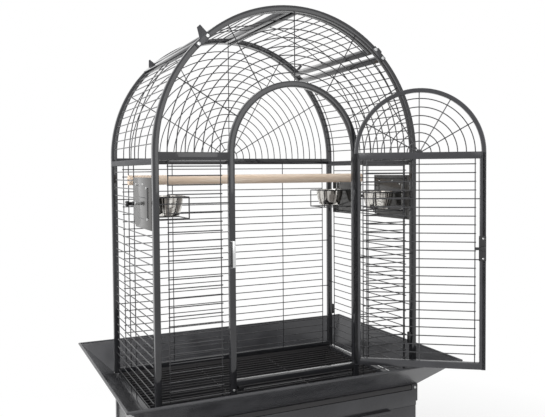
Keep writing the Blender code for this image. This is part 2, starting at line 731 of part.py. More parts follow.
def make_flap(name, side):
    """A hinged half of the roof: two curved tubes, an edge tube, a ridge tube and a net."""
    overrun = HALF_TUBE_ANGLE * FLAP_TUBE_SHARE
    first = roof_angle(side, FLAP_EDGE_ANGLE - overrun)
    last = roof_angle(side, FLAP_RIDGE_ANGLE + overrun)
    out_y = IN_Y - RUN
    mid_y = out_y - TUBE / 2
    outline = arc(ARCH_OUTER, first, last) + arc(ARCH_INNER, last, first)
    frame = plate("flap_frame_" + name, [outline], TUBE, (0, -mid_y, 0), CHARCOAL)
    rear = plate("flap_rear_" + name, [outline], TUBE, (0, mid_y, 0), helper=True)
    helpers = [rear]
    for label, angle in (("edge", FLAP_EDGE_ANGLE), ("ridge", FLAP_RIDGE_ANGLE)):
        turn = roof_angle(side, angle)
        ends = [polar(turn, ARCH_MID, y) for y in (-out_y + TOUCH, out_y - TOUCH)]
        tube = bars("flap_%s_%s" % (label, name), [ends], radial(turn), TUBE, TUBE, helper=True)
        boolean(frame, tube, "UNION")
        helpers.append(tube)
    boolean(frame, rear, "UNION")
    pin_angle = roof_angle(side, FLAP_EDGE_ANGLE)
    spans = []
    for sign in (-1, 1):
        spans.append((polar(pin_angle, ARCH_MID, sign * (out_y - PIN_DEPTH)),
                      polar(pin_angle, ARCH_MID, sign * (out_y + CUT_PAST))))
    holes = rods("flap_holes_" + name, spans, PIN_RADIUS + PIN_CLEAR, 12, helper=True)
    boolean(frame, holes, "DIFFERENCE")
    helpers.append(holes)

    gap = HALF_TUBE_ANGLE + math.degrees(2 * TOUCH / ARCH_MID)
    room = FLAP_RIDGE_ANGLE - gap - FLAP_FIRST_ROW
    count = 1 + int(room / ROOF_STEP - RIDGE_GAP_SHARE)
    angles = [roof_angle(side, FLAP_FIRST_ROW + ROOF_STEP * k) for k in range(count)]
    edge_stop = roof_angle(side, FLAP_EDGE_ANGLE + gap)
    ridge_stop = roof_angle(side, FLAP_RIDGE_ANGLE - gap)
    grille, under = roof_net("flap_grille_" + name, angles, edge_stop, ridge_stop, out_y - TUBE - TOUCH)
    helpers += [grille, under]
    hang_on(hinge_empty("flap_%s_axis" % name, polar(pin_angle, ARCH_MID, 0)), [frame] + helpers)


def make_flap_hinge(name, side, face, ear_radius):
    """A bracket bolted over the seam of the roof, with an ear and the pin a flap turns on."""
    pin_angle = roof_angle(side, FLAP_EDGE_ANGLE)
    fixed_angle = roof_angle(side, ROOF_EDGE_ANGLE)
    outer_y = face * HALF_Y
    pin, bolt = polar(pin_angle, ARCH_MID, 0), polar(fixed_angle, ARCH_MID, 0)
    along = (bolt - pin).normalized()
    out = radial((pin_angle + fixed_angle) / 2)
    if out.dot(radial(90)) < 0:
        out = -out

    def flat(point):
        return (point.x, point.z)

    corners = [
        pin - along * BRACKET_HALF - out * BRACKET_HALF,
        bolt + along * BRACKET_HALF - out * BRACKET_HALF,
        bolt + along * BRACKET_HALF + out * BRACKET_HALF,
        pin + along * EAR_WIDTH / 2 + out * BRACKET_HALF,
        pin + along * EAR_WIDTH / 2 + out * (ear_radius - ARCH_MID),
        pin - along * EAR_WIDTH / 2 + out * (ear_radius - ARCH_MID),
        pin - along * BRACKET_HALF + out * BRACKET_HALF,
    ]
    middle_y = outer_y + face * (TOUCH + BRACKET_THICK / 2)
    bracket = plate(
        "flap_hinge_" + name, [[flat(c) for c in corners]], BRACKET_THICK, (0, middle_y, 0), CHARCOAL
    )
    surface = outer_y + face * (TOUCH + BRACKET_THICK)
    heads = []
    for point in (pin, bolt):
        inner = Vector((point.x, middle_y, point.z))
        heads.append((inner, Vector((point.x, surface + face * BOLT_HEAD_HEIGHT, point.z))))
    boolean(bracket, rods("bolt_heads_" + name, heads, BOLT_HEAD_RADIUS, 12, helper=True), "UNION")
    tip = face * (IN_Y - PIN_DEPTH)
    shaft = [(Vector((pin.x, middle_y, pin.z)), Vector((pin.x, tip, pin.z)))]
    boolean(bracket, rods("flap_pin_" + name, shaft, PIN_RADIUS, 12, helper=True), "UNION")


def make_door():
    """Door at rest, turned open about its pins: frame, net, fan, lock and turning latch."""
    axis = hinge_empty("door_axis", (DOOR_AXIS_X, DOOR_AXIS_Y, 0))
    half = DOOR_HALF
    stile_inner = half - DOOR_STILE
    floor, ceiling = DOOR_BOTTOM + DOOR_RAIL, DOOR_CROSSBAR_BOTTOM
    outer = [(-half, DOOR_BOTTOM), (half, DOOR_BOTTOM)] + arc(half, 0, 180)
    panel = rect(-stile_inner, stile_inner, floor, ceiling)
    low_angle = angle_at(DOOR_CROSSBAR_TOP, DOOR_RING_INNER)
    fan_space = arc(DOOR_RING_INNER, low_angle, 180 - low_angle)
    frame = plate("door_frame", [outer, panel, fan_space], TUBE, (0, DOOR_MID_Y, 0), CHARCOAL)
    helpers = []
    links = []
    eyes = []
    bores = []
    for rise in DOOR_HINGE_RISES:
        low = DOOR_BOTTOM + rise + TOUCH
        high = DOOR_BOTTOM + rise + DOOR_EYE_HEIGHT
        links.append((
            (DOOR_AXIS_X - DOOR_LINK_LENGTH, DOOR_AXIS_Y - DOOR_LINK_OUT, low + DOOR_LINK_INSET),
            (DOOR_AXIS_X, DOOR_AXIS_Y + DOOR_LINK_IN, high - DOOR_LINK_INSET),
        ))
        eyes.append(((DOOR_AXIS_X, DOOR_AXIS_Y, low), (DOOR_AXIS_X, DOOR_AXIS_Y, high)))
        bores.append(((DOOR_AXIS_X, DOOR_AXIS_Y, low - CUT_PAST), (DOOR_AXIS_X, DOOR_AXIS_Y, high + CUT_PAST)))
    for helper, operation in (
        (boxes("door_links", links, helper=True), "UNION"),
        (rods("door_eyes", eyes, DOOR_EYE_RADIUS, 12, helper=True), "UNION"),
        (rods("door_bores", bores, DOOR_PIN_RADIUS + DOOR_PIN_CLEAR, 12, helper=True), "DIFFERENCE"),
    ):
        boolean(frame, helper, operation)
        helpers.append(helper)

    rows = []
    count = 1 + int((FIRST_ROW_Z + DOOR_ROW_LIFT - floor - WIRE) / PITCH)
    for k in range(count):
        z = FIRST_ROW_Z + DOOR_ROW_LIFT - PITCH * k
        if k in LONG_ROWS:
            rows.append((z, TOUCH - stile_inner, stile_inner - TOUCH))
        else:
            rows.append((z, DOOR_COLUMNS[0] - WIRE, DOOR_COLUMNS[-1] + WIRE))
    uprights = [(x, floor + TOUCH, ceiling - TOUCH, x == 0.0) for x in DOOR_COLUMNS]
    grille, under = wall_net(
        "door_grille", rows, uprights, lambda x, z, lift: (x, DOOR_MID_Y - lift, z)
    )
    fan, spokes = make_fan(
        "door_fan", DOOR_FAN_FIRST, (HUB_RADIUS - HUB_OVERLAP, DOOR_RING_INNER), DOOR_CROSSBAR_TOP,
        lambda angle, radius, lift: polar(angle, radius, DOOR_MID_Y - lift),
    )
    helpers += [under, spokes]
    low_angle = angle_at(DOOR_CROSSBAR_TOP + TOUCH, HUB_RADIUS)
    hub_outline = arc(HUB_RADIUS, low_angle, 180 - low_angle, step=HUB_ARC_STEP)
    hub = plate("door_hub", [hub_outline], HUB_THICK, (0, DOOR_MID_Y, 0), helper=True)
    boolean(fan, hub, "UNION")
    helpers.append(hub)

    lock_low = DOOR_MID_Y + TUBE / 2 + TOUCH
    lock_high = lock_low + LOCK_THICK
    lock = boxes("door_lock", [(
        (-half, lock_low, LOCK_Z - LOCK_HEIGHT / 2),
        (LOCK_WIDTH - half, lock_high, LOCK_Z + LOCK_HEIGHT / 2),
    )], BOLT_STEEL)
    latch_x = DOOR_STILE / 2 - half
    latch_low = lock_high + TOUCH
    latch_high = latch_low + LATCH_THICK
    latch = rods("door_latch", [(
        (latch_x, latch_low, LOCK_Z), (latch_x, latch_high, LOCK_Z)
    )], LATCH_RADIUS, 16, BOLT_STEEL)
    arm = boxes("door_latch_arm", [(
        (latch_x, latch_low + BITE, LOCK_Z - LATCH_ARM_WIDTH / 2),
        (latch_x + LATCH_ARM, latch_high - BITE, LOCK_Z + LATCH_ARM_WIDTH / 2),
    )], helper=True)
    boolean(latch, arm, "UNION")
    hang_on(axis, [frame, grille, fan, lock, latch, arm] + helpers)
    axis.rotation_euler.z = math.radians(DOOR_OPEN)


def make_keeper():
    centre_x = -(JAMB_INNER + JAMB_WIDTH / 2)
    face_y = -HALF_Y
    half = JAMB_WIDTH / 2 - KEEPER_INSET
    boxes("door_keeper", [(
        (centre_x - half, face_y - TOUCH - KEEPER_THICK, KEEPER_Z - KEEPER_HEIGHT / 2),
        (centre_x + half, face_y - TOUCH, KEEPER_Z + KEEPER_HEIGHT / 2),
    )], BOLT_STEEL)


def make_feeder(name, side, end):
    """Swing-out feeder: plate with a wire basket, a lift-out bowl and a turning knob.

    side is -1 for the left wall and 1 for the right one; end is -1 for the front and 1
    for the back.
    """
    inner = MID_X + NET_HALF + FEEDER_PLATE_GAP
    outer = inner + FEEDER_PLATE_THICK
    axis_x = side * (MID_X + FEEDER_AXIS_OUT)
    axis_y = end * FEEDER_AXIS_Y
    cut = FEEDER_PLATE_CORNER
    shape = [
        (end * FEEDER_PLATE_FAR, FEEDER_PLATE_TOP),
        (end * FEEDER_PLATE_FAR, FEEDER_PLATE_BOTTOM),
        (end * (FEEDER_PLATE_NEAR + cut), FEEDER_PLATE_BOTTOM),
        (end * FEEDER_PLATE_NEAR, FEEDER_PLATE_BOTTOM + cut),
        (end * FEEDER_PLATE_NEAR, FEEDER_PLATE_TOP),
    ]
    door = plate(
        "feeder_door_" + name, [shape], FEEDER_PLATE_THICK,
        (side * (inner + outer) / 2, 0, 0), PLATE_GREY, turn=FACE_SIDE,
    )
    half = BASKET_SIZE / 2
    bowl_out = MID_X - NET_HALF - BOWL_LIFT_GAP - BOWL_RIM
    near_x, far_x = inner + FEEDER_PLATE_THICK / 2, bowl_out - half
    low_x, high_x = sorted((side * far_x, side * near_x))
    bm = bmesh.new()
    add_box(bm, (low_x, end * BASKET_Y - half, BASKET_TOP - BASKET_HEIGHT),
            (high_x, end * BASKET_Y + half, BASKET_TOP))
    basket = place_object("basket_" + name, mesh_from(bm, "basket_" + name), helper=True)
    wires = basket.modifiers.new("Wires", "WIREFRAME")
    wires.thickness = BASKET_WIRE
    wires.offset = 0
    wires.use_relative_offset = False
    boolean(door, basket, "UNION")

    bowl = make_bowl("bowl_" + name)
    bowl.location = (side * bowl_out, end * BASKET_Y, BASKET_TOP + BASKET_WIRE / 2 + TOUCH)
    knob = make_knob("feeder_knob_" + name)
    knob.location = (side * (outer + TOUCH), end * KNOB_Y, KNOB_Z)
    knob.rotation_euler.y = math.radians(90 * side)
    axis = hinge_empty("feeder_axis_" + name, (axis_x, axis_y, BASKET_TOP))
    hang_on(axis, [door, basket, bowl, knob])


def turned(name, profile, steps, material, ring=False):
    """A turned piece: a profile of (radius, height) points spun about Z, closed for a ring."""
    count = len(profile)
    edges = [(k, (k + 1) % count) for k in range(count if ring else count - 1)]
    mesh = bpy.data.meshes.new(name)
    mesh.from_pydata([(r, 0, z) for r, z in profile], edges, [])
    obj = place_object(name, mesh, material)
    spin = obj.modifiers.new("Spin", "SCREW")
    spin.steps = steps
    spin.render_steps = steps
    spin.use_merge_vertices = True
    spin.merge_threshold = 0.00005
    spin.use_smooth_shade = True
    return obj


def make_bowl(name):
    """A steel bowl with a flat rim that hangs on the basket; the rim's underside is at 0."""
    wall = BOWL_WALL
    profile = [
        (0, 2 * wall - BOWL_HEIGHT), (BOWL_FOOT, 2 * wall - BOWL_HEIGHT),
        (BOWL_RADIUS - wall, -BOWL_NECK), (BOWL_RADIUS - wall, wall), (BOWL_RIM, wall),
        (BOWL_RIM, 0), (BOWL_RADIUS, 0), (BOWL_RADIUS, -BOWL_NECK), (BOWL_FOOT + wall, -BOWL_HEIGHT),
        (0, -BOWL_HEIGHT),
    ]
    return turned(name, profile, BOWL_STEPS, STEEL)


def make_knob(name):
    radius, length, cut = KNOB_RADIUS, KNOB_LENGTH, KNOB_CHAMFER
    profile = [
        (0, length), (radius - cut / 2, length), (radius, length - cut), (radius, KNOB_NECK_LENGTH + cut),
        (KNOB_NECK_RADIUS, KNOB_NECK_LENGTH), (KNOB_NECK_RADIUS, 0), (0, 0),
    ]
    return turned(name, profile, KNOB_STEPS, BLACK_PLASTIC)


def make_perch():
    """A dowel across the cage, slotted at each end over a wire of the side wall."""
    z = SIDE_ROWS[OPENING_TOP_ROW]
    end = MID_X + NET_HALF
    perch = rods("perch", [((-end, PERCH_Y, z), (end, PERCH_Y, z))], PERCH_RADIUS, PERCH_STEPS, PALE_WOOD)
    slots = []
    reach = PERCH_RADIUS + CUT_PAST
    for side in (-1, 1):
        low, high = sorted((side * (end - PERCH_SLOT_DEPTH), side * (end + CUT_PAST)))
        slots.append(((low, PERCH_Y - reach, z - PERCH_SLOT / 2), (high, PERCH_Y + reach, z + PERCH_SLOT / 2)))
    boolean(perch, boxes("perch_slots", slots, helper=True), "DIFFERENCE")


def make_clips():
    """Rounded black clips that hold the panels at the right-hand posts."""
    for name, low, z in (
        ("clip_back", (HALF_X + TOUCH, MID_Y - CLIP_SIDE / 2), CLIP_BACK_Z),
        ("clip_front", (IN_X - TOUCH - CLIP_SIDE, -MID_Y - CLIP_SIDE / 2), CLIP_FRONT_Z),
    ):
        clip = boxes(name, [(
            (low[0], low[1], z - CLIP_HEIGHT / 2),
            (low[0] + CLIP_SIDE, low[1] + CLIP_SIDE, z + CLIP_HEIGHT / 2),
        )], BLACK_PLASTIC)
        bevel = clip.modifiers.new("Round", "BEVEL")
        bevel.width = CLIP_ROUND
        bevel.segments = 2


def make_skirt():
    """Four sloping sheets with a rolled hem, mitred at the corners."""
    rise = SKIRT_RISE - SKIRT_LIFT
    length = math.hypot(SKIRT_OUT, rise)
    along = Vector((SKIRT_OUT / length, rise / length))
    normal = Vector((-along.y, along.x)) * SKIRT_SHEET
    foot = Vector((TOUCH + SKIRT_SHEET, BASE_TOP + SKIRT_LIFT))
    slope = math.degrees(math.atan2(rise, SKIRT_OUT))
    hem = (SKIRT_OUT, BASE_TOP + SKIRT_RISE)
    ring = arc(HEM_RADIUS, slope - 180 + HEM_OPEN, slope + 180 - HEM_OPEN, hem, HEM_ARC_STEP)
    lower = Vector(ring[0])
    upper = Vector(ring[-1])
    outline = [foot, lower] + ring[1:-1] + [upper, foot + normal]
    outline = [tuple(point) for point in outline]
    for name, half, reach, turn in (
        ("front", HALF_X, HALF_Y, 0), ("right", HALF_Y, HALF_X, 90),
        ("back", HALF_X, HALF_Y, 180), ("left", HALF_Y, HALF_X, 270),
    ):
        skirt = plate("skirt_" + name, [outline], 2.0, (0, 0, 0), CHARCOAL, turn=Matrix())
        for vert in skirt.data.vertices:
            out, z, end = vert.co
            vert.co = (math.copysign(half + out - TOUCH, end), -reach - out, z)
        bm = bmesh.new()
        bm.from_mesh(skirt.data)
        bmesh.ops.recalc_face_normals(bm, faces=bm.faces)
        bm.to_mesh(skirt.data)
        bm.free()
        skirt.data.transform(Matrix.Rotation(math.radians(turn), 4, "Z"))


def make_base():
    """The base the cage stands on: a ring with ledges, a grate slot and a front fascia."""
    out_x, out_y, in_x, in_y = BASE_OUT_X, BASE_OUT_Y, BASE_IN_X, BASE_IN_Y
    sides = []
    for side in (-1, 1):
        low, high = sorted((side * in_x, side * out_x))
        sides.append(((low, -out_y, BASE_BOTTOM), (high, out_y, BASE_TOP)))
    base = boxes("base", sides, CHARCOAL)
    span, low = in_x + BASE_WALL / 2, BASE_BOTTOM + TOUCH
    ends = boxes("base_ends", [
        ((-span, in_y, low), (span, out_y - TOUCH, BASE_TOP - TOUCH)),
        ((-span, -out_y + TOUCH, low), (span, -in_y, SLOT_BOTTOM)),
    ], helper=True)
    boolean(base, ends, "UNION")
    ledges = []
    for side in (-1, 1):
        low, high = sorted((side * (in_x - LEDGE), side * span))
        reach = in_y + BASE_WALL / 2
        ledges.append(((low, -reach, BASE_BOTTOM + 2 * TOUCH), (high, reach, SLOT_BOTTOM - TOUCH)))
    boolean(base, boxes("base_ledges", ledges, helper=True), "UNION")
    fascia = boxes("base_fascia", [(
        (-STAND_HALF_X, -out_y - FASCIA_PROUD, FASCIA_BOTTOM),
        (STAND_HALF_X, -out_y + FASCIA_THICK, SLOT_BOTTOM - 2 * TOUCH),
    )], helper=True)
    boolean(base, fascia, "UNION")


def make_grate():
    """The sliding floor of bars, with a front rail that closes its slot."""
    half_x = BASE_IN_X - RUN
    back_y = BASE_IN_Y - RUN
    front_y = TOUCH - BASE_OUT_Y
    low = SLOT_BOTTOM + RUN / 2
    rail_top = BASE_TOP - RUN / 2
    rail_back = front_y + GRATE_RAIL
    first, last = rail_back + PITCH / 2, back_y - GRATE_WIRE
    count = round((last - first) / PITCH)
    rows = [first + (last - first) * k / count for k in range(count + 1)]
    radius = GRATE_WIRE / 2
    z = low + GRATE_WIRE + WIRE_GAP / 2
    gap = (GRATE_WIRE + WIRE_GAP) / 2
    bars_x = []
    for k, y in enumerate(rows):
        lift = gap if k < count else gap * WELD_SHARE
        bars_x.append([(-half_x, y, z + lift), (half_x, y, z + lift)])
    runners = []
    for x in (-half_x + GRATE_WIRE, -half_x / 3, half_x / 3, half_x - GRATE_WIRE):
        lift = 0 if x == -half_x / 3 else -gap
        runners.append([(x, rail_back - GRATE_RUNNER_BITE, z + lift), (x, back_y, z + lift)])
    grate, _ = net("grate", bars_x, runners, radius=radius)
    rail = boxes("grate_rail", [((-half_x, front_y, low), (half_x, rail_back, rail_top))], helper=True)
    boolean(grate, rail, "UNION")


def make_tray():
    """A pull-out pan with a front plate and a long finger pull."""
    half_x = STAND_HALF_X - LEG - 2 * RUN
    front = -BASE_OUT_Y - TOUCH
    back = HALF_Y - LEG - 2 * RUN
    pan_front = front + TRAY_FRONT_THICK - BITE
    tray = boxes("tray", [((-half_x, pan_front, TRAY_BOTTOM), (half_x, back, TRAY_TOP))], CHARCOAL)
    hollow = boxes("tray_hollow", [(
        (-half_x + TRAY_SHEET, front + TRAY_FRONT_THICK + TRAY_SHEET, TRAY_BOTTOM + TRAY_SHEET),
        (half_x - TRAY_SHEET, back - TRAY_SHEET, TRAY_TOP + CUT_PAST),
    )], helper=True)
    boolean(tray, hollow, "DIFFERENCE")
    face = boxes("tray_face", [(
        (-TRAY_FRONT_HALF, front, TRAY_FRONT_BOTTOM),
        (TRAY_FRONT_HALF, front + TRAY_FRONT_THICK, FASCIA_BOTTOM - TOUCH),
    )], helper=True)
    boolean(tray, face, "UNION")
    pull = boxes("tray_pull", [(
        (-PULL_HALF, front - PULL_OUT, PULL_TOP - PULL_HEIGHT),
        (PULL_HALF, front + TRAY_FRONT_THICK / 2, PULL_TOP),
    )], helper=True)
    boolean(tray, pull, "UNION")


def make_stand():
    """Four legs, side plates, ledges for the tray, a front rail, a back plate and a shelf."""
    top = BASE_BOTTOM - TOUCH
    face_y = HALF_Y
    legs = []
    for sx in (-1, 1):
        for sy in (-1, 1):
            low_x, high_x = sorted((sx * (STAND_HALF_X - LEG), sx * STAND_HALF_X))
            low_y, high_y = sorted((sy * (face_y - LEG), sy * face_y))
            legs.append(((low_x, low_y, CASTOR_HEIGHT), (high_x, high_y, top)))
    stand = boxes("stand_frame", legs, CHARCOAL)
    inset = RAIL_INSET
    sides = []
    ledges = []
    for sx in (-1, 1):
        low, high = sorted((sx * (STAND_HALF_X - LEG + inset), sx * (STAND_HALF_X - inset)))
        sides.append(((low, -face_y + LEG / 2, RAIL_BOTTOM), (high, face_y - LEG / 2, top - TOUCH)))
        low, high = sorted((sx * (STAND_HALF_X - LEG - LEDGE), sx * (STAND_HALF_X - LEG / 2)))
        ledges.append(((low, -face_y + LEG / 3, RAIL_BOTTOM + 2 * BITE),
                       (high, face_y - LEG / 3, TRAY_BOTTOM - RUN)))
    span = STAND_HALF_X - LEG / 2
    ends = [
        ((-span, -face_y + inset, RAIL_BOTTOM + BITE), (span, -face_y + LEG - inset, TRAY_FRONT_BOTTOM)),
        ((-span, face_y - LEG + inset, RAIL_BOTTOM + BITE), (span, face_y - inset, top - 2 * TOUCH)),
    ]
    for helper in (
        boxes("stand_sides", sides, helper=True),
        boxes("stand_ends", ends, helper=True),
        boxes("stand_ledges", ledges, helper=True),
    ):
        boolean(stand, helper, "UNION")
    half_x, half_y = STAND_HALF_X - SHELF_GAP, face_y - LEG - SHELF_GAP
    shelf = boxes("stand_shelf", [
        ((-half_x, -half_y, SHELF_TOP - SHELF_HEIGHT), (half_x, half_y, SHELF_TOP))
    ], CHARCOAL)
    well = boxes("shelf_well", [(
        (-half_x + SHELF_SHEET, -half_y + SHELF_SHEET, SHELF_TOP - SHELF_HEIGHT + SHELF_SHEET),
        (half_x - SHELF_SHEET, half_y - SHELF_SHEET, SHELF_TOP + CUT_PAST),
    )], helper=True)
    boolean(shelf, well, "DIFFERENCE")


def make_castor(name, x, y, heading):
    """A swivel castor under one leg: a fork with its stem and axle, and a wheel."""
    axle_z = WHEEL_RADIUS * math.cos(math.pi / WHEEL_STEPS)
    turn = Matrix.Translation((x, y, 0)) @ Matrix.Rotation(math.radians(heading), 4, "Z")
    half = WHEEL_WIDTH / 2 + FORK_SIDE_GAP
    outer = half + FORK_CHEEK
    top = CASTOR_HEIGHT - TOUCH
    crown_high = top - FORK_STEM_HEIGHT
    crown_low = crown_high - FORK_TOP
    inside = (crown_low + crown_high) / 2
    fork = boxes("castor_fork_" + name, [
        ((-FORK_FRONT, -outer, crown_low), (CASTOR_TRAIL + FORK_BACK, outer, crown_high))
    ], BLACK_PLASTIC)
    cheeks = []
    for sign in (-1, 1):
        low, high = sorted((sign * half, sign * (outer - FORK_CHEEK_INSET)))
        cheeks.append(((CASTOR_TRAIL - CHEEK_FRONT, low, axle_z - CHEEK_DROP),
                       (CASTOR_TRAIL + CHEEK_BACK, high, inside)))
    cheeks = boxes("fork_cheeks_" + name, cheeks, helper=True)
    stem = rods("fork_stem_" + name, [((0, 0, inside), (0, 0, top))], FORK_STEM_RADIUS, 16, helper=True)
    axle = rods("fork_axle_" + name, [
        ((CASTOR_TRAIL, -half - BITE, axle_z), (CASTOR_TRAIL, half + BITE, axle_z))
    ], AXLE_RADIUS, 12, helper=True)
    for helper in (cheeks, stem, axle):
        boolean(fork, helper, "UNION")
    swivel = hinge_empty("castor_axis_" + name, (x, y, top))
    for obj in (fork, cheeks, stem, axle):
        obj.data.transform(turn)
    bore = AXLE_RADIUS + AXLE_CLEAR
    width = WHEEL_WIDTH / 2
    profile = [
        (bore, width), (WHEEL_RADIUS - TYRE_SHOULDER, width), (WHEEL_RADIUS, width - TYRE_CHAMFER),
        (WHEEL_RADIUS, TYRE_CHAMFER - width), (WHEEL_RADIUS - TYRE_SHOULDER, -width), (bore, -width),
    ]
    wheel = turned("castor_wheel_" + name, profile, WHEEL_STEPS, TYRE, ring=True)
    # A half step of turn puts one of the flats of the tread on the floor.
    wheel.rotation_mode = "QUATERNION"
    wheel.rotation_quaternion = (
        Matrix.Rotation(math.radians(heading), 4, "Z")
        @ Matrix.Rotation(math.radians(90), 4, "X")
        @ Matrix.Rotation(math.radians(90 + 180 / WHEEL_STEPS), 4, "Z")
    ).to_quaternion()
    wheel.location = turn @ Vector((CASTOR_TRAIL, 0, axle_z))
    hang_on(swivel, [fork, cheeks, stem, axle, wheel])


def main():
    clear_scene()
    make_front_frame()
    make_back_frame()
    make_front_grille("front_grille_left", -1)
    make_front_grille("front_grille_right", 1)
    make_fan(
        "front_fan", FRONT_FAN_FIRST, (JAMB_OUTER + TOUCH, ARCH_INNER),
        CROSSBAR_TOP, lambda angle, radius, lift: polar(angle, radius, -MID_Y - lift),
    )
    make_fan(
        "back_fan", BACK_FAN_FIRST, (BACK_FAN_FIRST - WIRE, ARCH_INNER),
        BACK_CROSSBAR_TOP, lambda angle, radius, lift: polar(angle, radius, MID_Y + lift),
    )
    make_back_grille()
    make_side("left", -1, (-1,))
    make_side("right", 1, (-1, 1))
    for name, side in (("left", -1), ("right", 1)):
        make_roof_side(name, side)
        make_flap(name, side)
    make_flap_hinge("front_left", -1, -1, EAR_FRONT)
    make_flap_hinge("front_right", 1, -1, EAR_FRONT)
    make_flap_hinge("back_left", -1, 1, EAR_BACK_LEFT)
    make_flap_hinge("back_right", 1, 1, EAR_BACK_RIGHT)
    make_door()
    make_keeper()
    make_feeder("left", -1, -1)
    make_feeder("right_front", 1, -1)
    make_feeder("right_back", 1, 1)
    make_perch()
    make_clips()
    make_skirt()
    make_base()
    make_grate()
    make_tray()
    make_stand()
    castor_x, castor_y = STAND_HALF_X - LEG / 2, HALF_Y - LEG / 2
    for name, sx, sy, heading in (
        ("front_left", -1, -1, 20), ("front_right", 1, -1, 160),
        ("back_left", -1, 1, -35), ("back_right", 1, 1, 200),
    ):
        make_castor(name, sx * castor_x, sy * castor_y, heading)
    for obj in bpy.data.objects:
        if obj.parent is None:
            obj.location.y += CAGE_BACK


main()
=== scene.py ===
# %% [markdown]
# # A dome-top parrot cage, piece by piece
# This lesson dresses a finished CAD model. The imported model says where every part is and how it
# moves. Here each tube, wire, bowl and castor is modelled again with the roundness and the paint
# of the real thing, and is then tied to the CAD body that it belongs to.
# Lengths are in metres, +Z is up, and the front of the cage faces -Y.

import math

import bmesh
import bpy
from mathutils import Matrix, Vector


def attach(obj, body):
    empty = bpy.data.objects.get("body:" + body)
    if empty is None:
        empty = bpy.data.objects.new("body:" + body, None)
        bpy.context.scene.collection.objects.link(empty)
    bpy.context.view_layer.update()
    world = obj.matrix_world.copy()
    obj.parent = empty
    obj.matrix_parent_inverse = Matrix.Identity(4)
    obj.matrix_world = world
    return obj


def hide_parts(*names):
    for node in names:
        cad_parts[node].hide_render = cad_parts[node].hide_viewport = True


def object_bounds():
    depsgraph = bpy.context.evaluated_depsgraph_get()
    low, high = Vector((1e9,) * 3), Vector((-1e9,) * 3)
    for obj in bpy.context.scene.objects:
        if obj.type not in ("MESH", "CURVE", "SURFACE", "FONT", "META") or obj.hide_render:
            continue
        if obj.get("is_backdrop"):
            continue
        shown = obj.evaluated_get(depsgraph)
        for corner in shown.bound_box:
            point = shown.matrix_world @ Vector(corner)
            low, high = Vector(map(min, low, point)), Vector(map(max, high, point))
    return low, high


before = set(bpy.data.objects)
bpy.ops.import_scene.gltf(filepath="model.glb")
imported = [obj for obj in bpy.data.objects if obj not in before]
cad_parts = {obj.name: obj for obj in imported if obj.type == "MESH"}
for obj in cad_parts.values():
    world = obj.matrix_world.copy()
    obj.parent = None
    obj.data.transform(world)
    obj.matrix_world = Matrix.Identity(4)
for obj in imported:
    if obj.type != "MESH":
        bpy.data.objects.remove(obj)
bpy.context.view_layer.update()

# %% [markdown]
# ## The camera
# A product photograph is matched by putting the camera where the photographer stood. The corners
# of the cage and its level wires fix that point. The camera looks slightly down and to the right,
# and a small shift moves the picture as cropping does, without turning the camera.

# %% Stand the camera where the photographer stood
CAMERA_PLACE = Vector((-0.933, -2.0456, 1.1926))
YAW, PITCH, ROLL = 0.4346, -0.0353, -0.0073
LENS, SENSOR, PICTURE_SHIFT = 43.98, 36, -0.02396

ahead = Vector((
    math.sin(YAW) * math.cos(PITCH), math.cos(YAW) * math.cos(PITCH), math.sin(PITCH),
))
level_right = Vector((math.cos(YAW), -math.sin(YAW), 0))
level_up = level_right.cross(ahead)
right = math.cos(ROLL) * level_right + math.sin(ROLL) * level_up
up = -math.sin(ROLL) * level_right + math.cos(ROLL) * level_up

camera_data = bpy.data.cameras.new("photo_camera")
camera_data.sensor_width = SENSOR
camera_data.lens = LENS
camera_data.shift_y = PICTURE_SHIFT
camera = bpy.data.objects.new("photo_camera", camera_data)
bpy.context.scene.collection.objects.link(camera)
camera.matrix_world = (
    Matrix.Translation(CAMERA_PLACE) @ Matrix((right, up, -ahead)).transposed().to_4x4()
)
bpy.context.scene.camera = camera
print("camera", [round(x, 3) for x in CAMERA_PLACE], "lens", LENS)

# %% [markdown]
# ## Writing shaders as sums
# A material in Blender is a graph of nodes. Wiring it by hand takes many lines, so a small class
# wraps a node's output and lets Python's signs add the Math nodes: `1 - mask` makes a Subtract
# node. Every other node comes from one method that takes its type, its settings and what feeds
# its sockets.

# %% A socket that can be added and multiplied
class Signal:
    """A node's output. A sum that is written on it adds Math nodes to the same tree."""

    def __init__(self, desk, socket):
        self.desk = desk
        self.socket = socket

    def reckon(self, operation, first, second):
        return self.desk.node("ShaderNodeMath", {"operation": operation}, {0: first, 1: second})

    def __add__(self, other):
        return self.reckon("ADD", self, other)

    def __radd__(self, other):
        return self.reckon("ADD", other, self)

    def __sub__(self, other):
        return self.reckon("SUBTRACT", self, other)

    def __rsub__(self, other):
        return self.reckon("SUBTRACT", other, self)

    def __mul__(self, other):
        return self.reckon("MULTIPLY", self, other)

    def __rmul__(self, other):
        return self.reckon("MULTIPLY", other, self)


